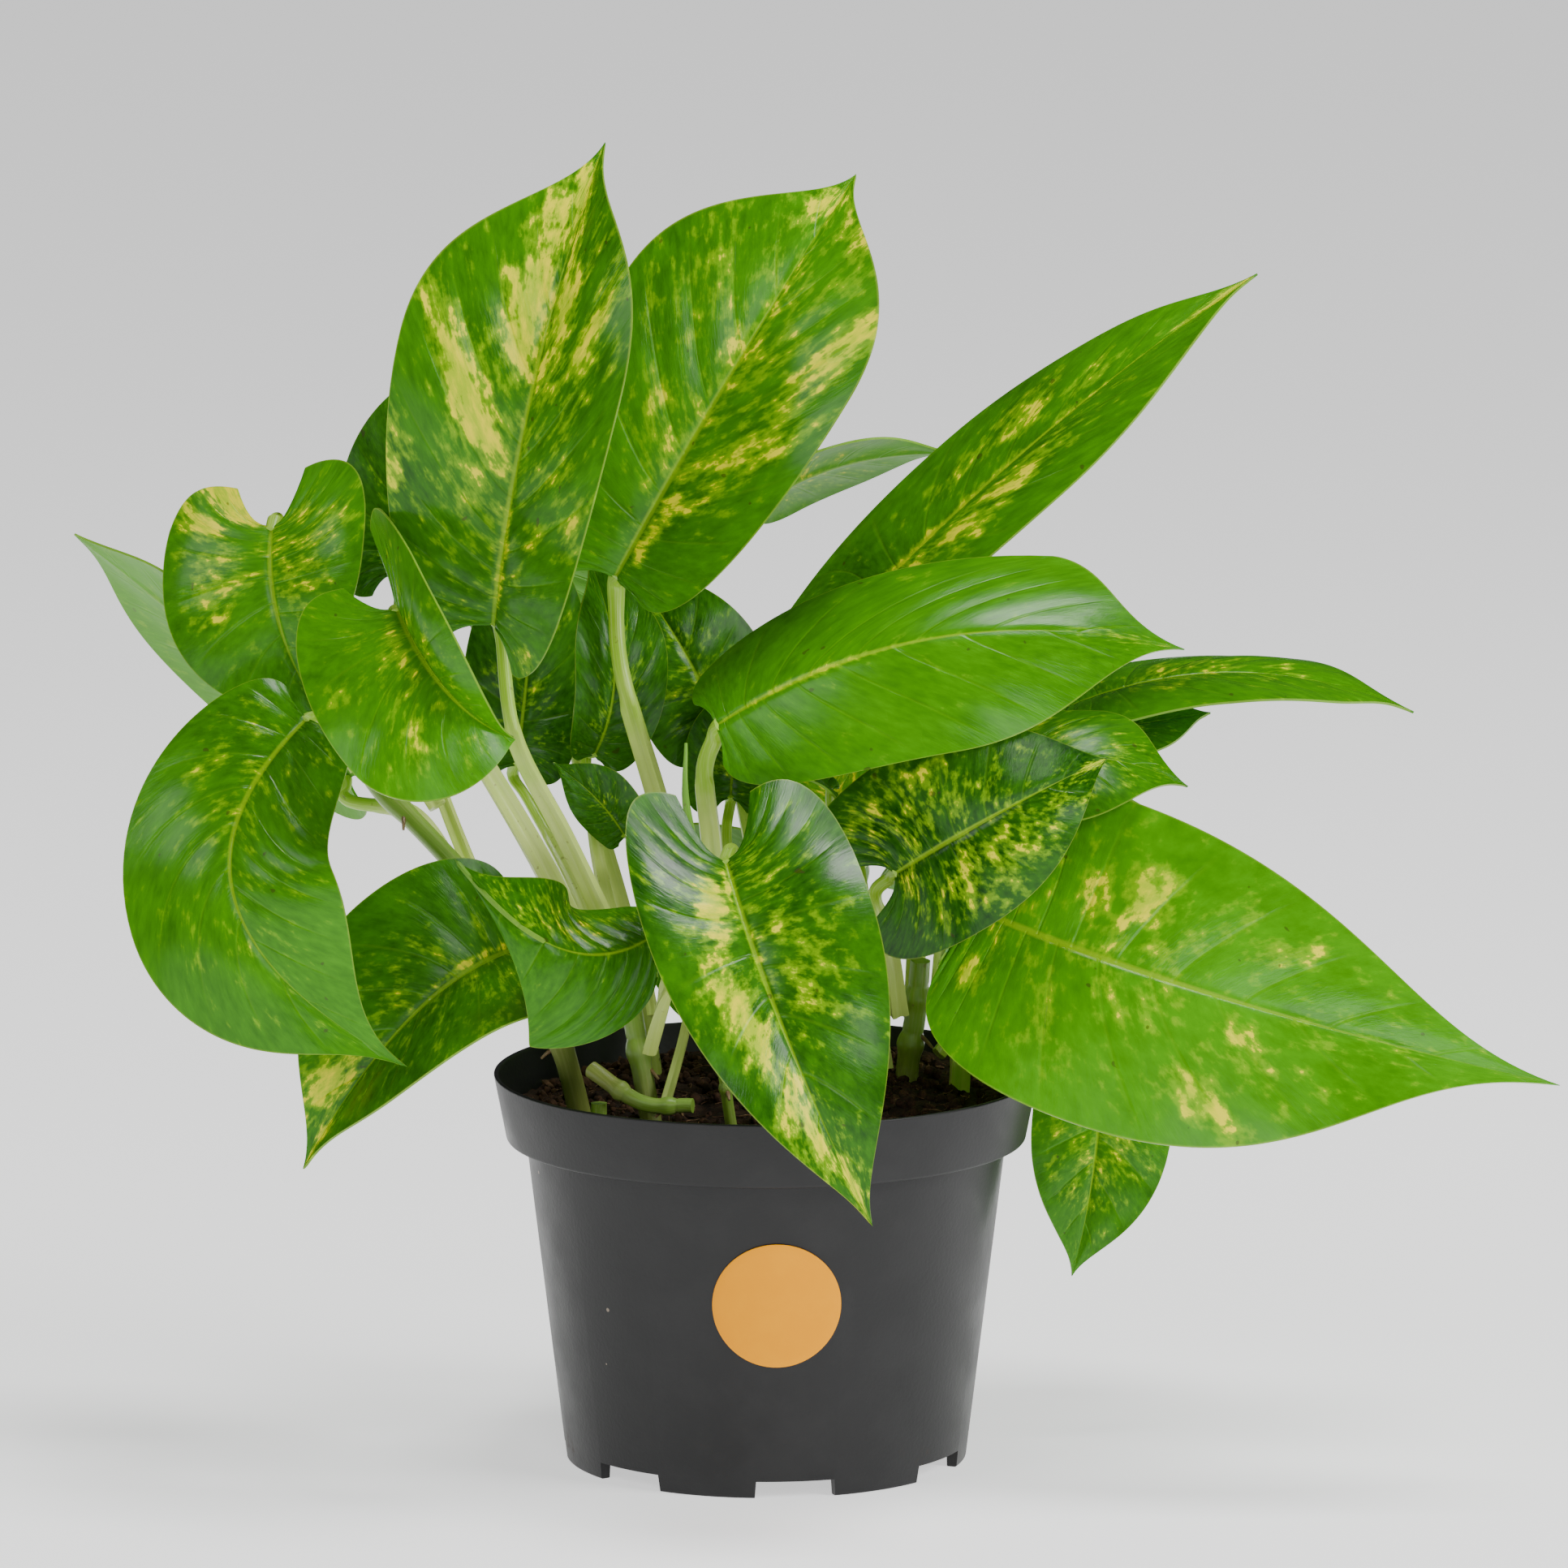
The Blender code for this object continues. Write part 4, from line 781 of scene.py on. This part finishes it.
def bezier(p0, p1, p2, p3, t):
    q = 1 - t
    return q ** 3 * p0 + 3 * q * q * t * p1 + 3 * q * t * t * p2 + t ** 3 * p3


def blade_edge(t, belly, lobe, shoulder, drip):
    """Half of the heart's edge: its place along the midrib, and out from it as a share of the width."""
    near, far = np.clip(t / 0.5, 0, 1), np.clip((t - 0.5) / 0.5, 0, 1)
    full = np.minimum(belly + 0.62 * (1 - belly), 1.0 - drip)
    along = np.where(t <= 0.5, bezier(-lobe, -1.15 * lobe - 0.01, belly - shoulder, belly, near),
                     bezier(belly, full, 1.0 - drip, 1.0, far))
    out = np.where(t <= 0.5, bezier(LOBE_SPREAD, LOBE_SPREAD + 0.3, 1.0, 1.0, near),
                   bezier(1.0, 1.0, 0.12, 0.0, far))
    return along, out


def midrib_ends(leaf):
    """The midrib as a quadratic curve: its base, the point it bends towards, and its tip."""
    base, middle, tip = (np.asarray(leaf[k], float) for k in ("base", "mid", "tip"))
    return base, 2 * middle - 0.5 * (base + tip), tip


def upright(leaf, ahead):
    """The way the face looks, made square to the midrib's direction."""
    face = unit(leaf["face"])
    return unit(face - ahead * (ahead * face).sum(axis=-1, keepdims=True))


def crowded(across):
    """Places across the blade, drawn closer together near the midrib."""
    return np.sign(across) * np.abs(across) ** MIDRIB_CROWD


def blade_places(leaf, growth, seed, across, t):
    """Where the blade's points lie; across runs from -1 at the left edge to 1 at the right edge."""
    _, veins, depth, waving, _ = growth
    base, bend, tip = midrib_ends(leaf)
    right = across > 0

    def half(key):
        """Each point's value from its own half of the leaf."""
        pair = np.broadcast_to(leaf[key], 2)
        return np.where(right, pair[1], pair[0])

    width, belly, lobe, fold, curl = (half(key) for key in ("width", "belly", "lobe", "fold", "curl"))
    fold, curl = np.radians(fold), np.radians(curl) + 1e-6
    shoulder = half("shoulder") if "shoulder" in leaf else belly + 1.2 * lobe
    drip = half("drip") if "drip" in leaf else DRIP
    s = np.abs(across)
    edge, out = blade_edge(t, belly, lobe, shoulder, drip)
    foot = t ** 2.2
    a = foot + (edge - foot) * s ** np.where(edge > foot, 1.3, 2.4)
    held = np.clip(a, 0, 1)[..., None]
    ahead = 2 * (1 - held) * (bend - base) + 2 * held * (tip - bend)
    midrib = (1 - held) ** 2 * base + 2 * held * (1 - held) * bend + held ** 2 * tip
    midrib = midrib + np.minimum(a, 0)[..., None] * 2 * (bend - base)
    ahead = unit(ahead)
    up = upright(leaf, ahead)
    aside = np.cross(ahead, up)
    turned = curl * out * s
    reach = width / curl * (np.sin(fold) - np.sin(fold - turned))
    rise = width / curl * (np.cos(fold - turned) - np.cos(fold))
    places = midrib + aside * (reach * np.where(right, 1, -1))[..., None] + up * rise[..., None]
    lie = unit(np.cross(np.gradient(places, axis=1), np.gradient(places, axis=0)))
    lie[-1] = lie[-2]
    distance = s * out * width
    phase = t * veins + VEIN_STAGGER * right
    valley = np.exp(-((phase - np.rint(phase)) / 0.10) ** 2)
    quilt = (0.5 - 0.5 * np.cos(2 * math.pi * phase)) ** 0.7
    inner = np.clip(s * 5, 0, 1) * np.clip((1 - s) * 4, 0, 1)
    lift = -0.6 * np.exp(-(distance / 1.1) ** 2) * (1 - 0.6 * t)
    lift += depth * (1.3 * quilt - 0.6 * valley) * inner * np.clip(2.4 - 2 * t, 0, 1)
    wave = np.sin(2 * math.pi * (2.3 * t + 0.13 * seed + 0.4 * right))
    lift += waving * s ** 2 * wave * np.sin(math.pi * t)
    lift += 0.35 * np.sin(7 * t + 3 * across + seed) * np.sin(5 * across - 4 * t + 2 * seed) * s
    return places + lie * (lift * (1 - t ** 10))[..., None]


def golden(across, t, patches, seed):
    """How much of the blade is golden, from the patches, with ragged edges along the veins."""
    ragged = 0.12 * np.sin(31 * t + seed) * np.sin(9 * across + 2 * seed)
    ragged += 0.10 * np.sin(67 * t + 3 * seed + 2 * across)
    field = np.zeros_like(t)
    for at, along, wide, long, strength in patches:
        away = ((across - at) / wide) ** 2 + ((t - along) / long) ** 2
        field = np.maximum(field, strength * np.exp(-away * (1.0 + ragged)))
    return field


def blade_finish():
    """Leaf skin: waxy green between paler veins, golden streaks along them, a pale matte underside."""
    surface, tree, shader = new_finish("pothos_blade", IOR=1.45, Specular_IOR_Level=0.24,
                                       Coat_Weight=0.05, Coat_Roughness=0.10)
    route = add_node(tree, "SeparateXYZ", {0: add_node(tree, "TexCoord").outputs["UV"]})
    u, t = route.outputs[0], route.outputs[1]
    s = reckon(tree, "ABSOLUTE", minus(tree, times(tree, u, 2.0), 1.0))
    place = add_node(tree, "TexCoord").outputs["Object"]
    gold, tone, seed, under, veins = (
        add_node(tree, "Attribute", attribute_name=name).outputs["Fac"]
        for name in ("gold", "tone", "seed", "under", "veins"))

    def streaks(along, out, detail):
        """Noise drawn out along the side veins."""
        drawn = add_node(tree, "CombineXYZ", {0: times(tree, t, along), 1: times(tree, u, out), 2: seed})
        return grain(tree, drawn.outputs[0], 1.0, detail, 0.6)

    broad, narrow, hair = streaks(20.0, 4.5, 5.0), streaks(56.0, 15.0, 4.0), streaks(230.0, 22.0, 2.0)
    fleck = grain(tree, place, 230.0, 4.0)
    marbling = plus(tree, times(tree, broad, 0.34), times(tree, narrow, 0.38), times(tree, fleck, 0.28))
    over = minus(tree, marbling, minus(tree, 0.66, times(tree, gold, 0.24)))
    cream, partly = ramp(tree, over, 0.0, 0.045), ramp(tree, over, -0.09, 0.015)

    drift = grain(tree, place, 26.0, 3.0)
    # The tone attribute sets how bright the green is; on leaf_backlit and leaf_far_left it is raised to paint
    # the glow of light through the blade.
    bright = swayed(tree, swayed(tree, tone, drift, 0.7, True), narrow, 0.75, True)
    green = mixed(tree, bright, (0.003, 0.046, 0.0), (0.090, 0.400, 0.0))
    green = mixed(tree, times(tree, partly, 0.72), green, (0.25, 0.50, 0.0))
    yellow = mixed(tree, ramp(tree, plus(tree, broad, narrow), 0.86, 1.24),
                   (0.44, 0.62, 0.0), (0.90, 0.82, 0.004))
    shade = mixed(tree, cream, green, yellow)

    stagger = times(tree, reckon(tree, "GREATER_THAN", u, 0.5), VEIN_STAGGER)
    phase = reckon(tree, "FRACT", plus(tree, times(tree, t, veins), stagger))
    off_vein = reckon(tree, "MINIMUM", phase, minus(tree, 1.0, phase))
    vein = times(tree, ramp(tree, off_vein, 0.055, 0.0), ramp(tree, s, 1.0, 0.6))
    shade = mixed(tree, times(tree, vein, 0.16), shade, (0.18, 0.44, 0.0))
    midrib = times(tree, ramp(tree, s, 0.034, 0.010), ramp(tree, t, 1.02, 0.70, 0.35, 1.0))
    shade = mixed(tree, times(tree, midrib, 0.65), shade, (0.30, 0.52, 0.004))
    margin = times(tree, ramp(tree, s, 0.988, 0.999), 0.35)
    shade = mixed(tree, margin, shade, (0.42, 0.56, 0.06))
    speck = times(tree, ramp(tree, grain(tree, place, 260.0, 1.0), 0.765, 0.785), 0.6)
    shade = mixed(tree, speck, shade, (0.05, 0.04, 0.012))
    shade = mixed(tree, under, shade, mixed(tree, 0.40, shade, (0.16, 0.34, 0.06)))
    waxy = plus(tree, ramp(tree, drift, 0.3, 0.7, 0.18, 0.28), times(tree, cream, 0.05),
                times(tree, under, 0.20))
    wire(tree, shader, Base_Color=shade, Roughness=waxy)
    height = minus(tree, times(tree, hair, 0.5), vein)
    relief(tree, shader, minus(tree, height, times(tree, midrib, 0.6)), 0.00022, 0.55)
    return surface


def sheathed(angle, share):
    """A stalk's section: a channel down its face, winged by the sheath until two thirds of the way up."""
    away = np.abs(angle)
    sheath = np.clip((SHEATH_END - share) / 0.03, 0, 1)
    size = 1.0 - (0.16 + 0.16 * sheath) * np.exp(-(away / 0.45) ** 2)
    size = size + 0.30 * sheath * np.exp(-((away - 0.75) / 0.26) ** 2) + 0.10 * sheath
    size = size + 0.22 * np.exp(-((share - 0.95) / 0.05) ** 2)
    return size


def uv_places(mesh):
    spread = np.empty(len(mesh.loops) * 2)
    mesh.uv_layers[0].data.foreach_get("uv", spread)
    return spread.reshape(-1, 2)


def build_leaf(name, leaf, seed, skin, stalk_skin):
    """One leaf: its blade from a flat grid, given a thickness, then joined to its stalk."""
    growth = GROWTH.get(name, PLAIN_GROWTH)
    title = name.replace("leaf_", "")

    def place(u, v):
        return blade_places(leaf, growth, seed, crowded(2 * u - 1), v)

    blade = close_up(formed_grid(title + "_blade", BLADE_COLUMNS, BLADE_ROWS, place), outward=False)
    mesh = blade.data
    spread = uv_places(mesh)
    spread[:, 0] = 0.5 + 0.5 * crowded(2 * spread[:, 0] - 1)
    mesh.uv_layers[0].data.foreach_set("uv", spread.ravel())
    upper = len(mesh.vertices)
    apply_modifier(blade, "SOLIDIFY", thickness=BLADE_THICKNESS * MM, offset=-1.0)
    loops = np.empty(len(mesh.loops), int)
    mesh.loops.foreach_get("vertex_index", loops)
    at = np.zeros((len(mesh.vertices), 2))
    at[loops] = uv_places(mesh)
    across, t = 2 * at[:, 0] - 1, at[:, 1]
    values = {"gold": golden(across, t, growth[4], seed), "tone": np.full(len(at), growth[0]),
              "seed": np.full(len(at), 3.7 * seed), "veins": np.full(len(at), float(growth[1])),
              "under": (np.arange(len(at)) >= upper).astype(float)}
    for key, value in values.items():
        mesh.attributes.new(key, "FLOAT", "POINT").data.foreach_set("value", value.astype(np.float32))
    mesh.materials.append(skin)

    base, bend, _ = midrib_ends(leaf)
    ahead = unit(bend - base)
    up = upright(leaf, ahead)
    radii = leaf.get("stalk_radius", STALK_RADIUS)
    end = base + ahead * 1.5 - up * 0.6 * radii[1]
    points = [*leaf["stalk"], end - unit(ahead + 0.8 * up) * 7.0, end]
    stalk = stem(title + "_stalk", points, radii, sheathed, 24, 64, tuple(unit(leaf["face"])))
    stalk.data.materials.append(stalk_skin)
    return joined(title + "_leaf", [blade, stalk])


blade_skin = blade_finish()
stalk_skin = stalk_finish("stalk_skin", (0.56, 0.70, 0.16), (0.32, 0.58, 0.02),
                          (0.76, 0.84, 0.36))
for seed, (name, leaf) in enumerate(LEAVES.items()):
    finished(build_leaf(name, leaf, seed, blade_skin, stalk_skin), None, 50, "leaf_green", name)

# ---- Studio ----
# A plain pale floor, large soft lights above, to both sides and in front, and a long lens that
# stands higher than the leaves, tipped down.
FLOOR_SIZE, FLOOR_GLOW, AIR_GLOW, AIM_HEIGHT = 14, 0.85, 0.05, 0.18
CAMERA_PLACE, CAMERA_TILT, CAMERA_LENS, CAMERA_SENSOR = (0.005, -3.14, 0.7326), 80.2, 263.5, 36.0

bpy.ops.mesh.primitive_plane_add(size=FLOOR_SIZE, location=(0, 0, 0))
floor = bpy.context.object
floor.name = "studio_floor"
paper, _, _ = new_finish("pale_floor", Base_Color=(0.93, 0.93, 0.93, 1.0), Roughness=0.9,
                         Emission_Color=(1.0, 1.0, 1.0, 1.0), Emission_Strength=FLOOR_GLOW)
floor.data.materials.append(paper)

world = bpy.data.worlds.new("studio_air")
bpy.context.scene.world = world
world.use_nodes = True
air = world.node_tree.nodes["Background"].inputs
air["Color"].default_value, air["Strength"].default_value = (1.0, 1.0, 1.0, 1.0), AIR_GLOW

for name, place, size, power in (
        ("right_softbox", (1.7, -0.9, 1.2), 0.8, 30.0), ("left_softbox", (-1.7, -1.3, 1.6), 0.9, 11.0),
        ("top_softbox", (0.2, 0.0, 2.0), 0.6, 24.0), ("front_fill", (0.4, -3.0, 1.4), 1.0, 20.0)):
    bpy.ops.object.light_add(type="AREA", location=place)
    lamp = bpy.context.object
    lamp.name = name
    lamp.data.size, lamp.data.energy = size, power
    lamp.rotation_euler = (Vector((0, 0, AIM_HEIGHT)) - Vector(place)).to_track_quat("-Z", "Y").to_euler()

bpy.ops.object.camera_add(location=CAMERA_PLACE, rotation=(math.radians(CAMERA_TILT), 0, 0))
camera = bpy.context.object
camera.data.lens, camera.data.sensor_width = CAMERA_LENS, CAMERA_SENSOR
bpy.context.scene.camera = camera
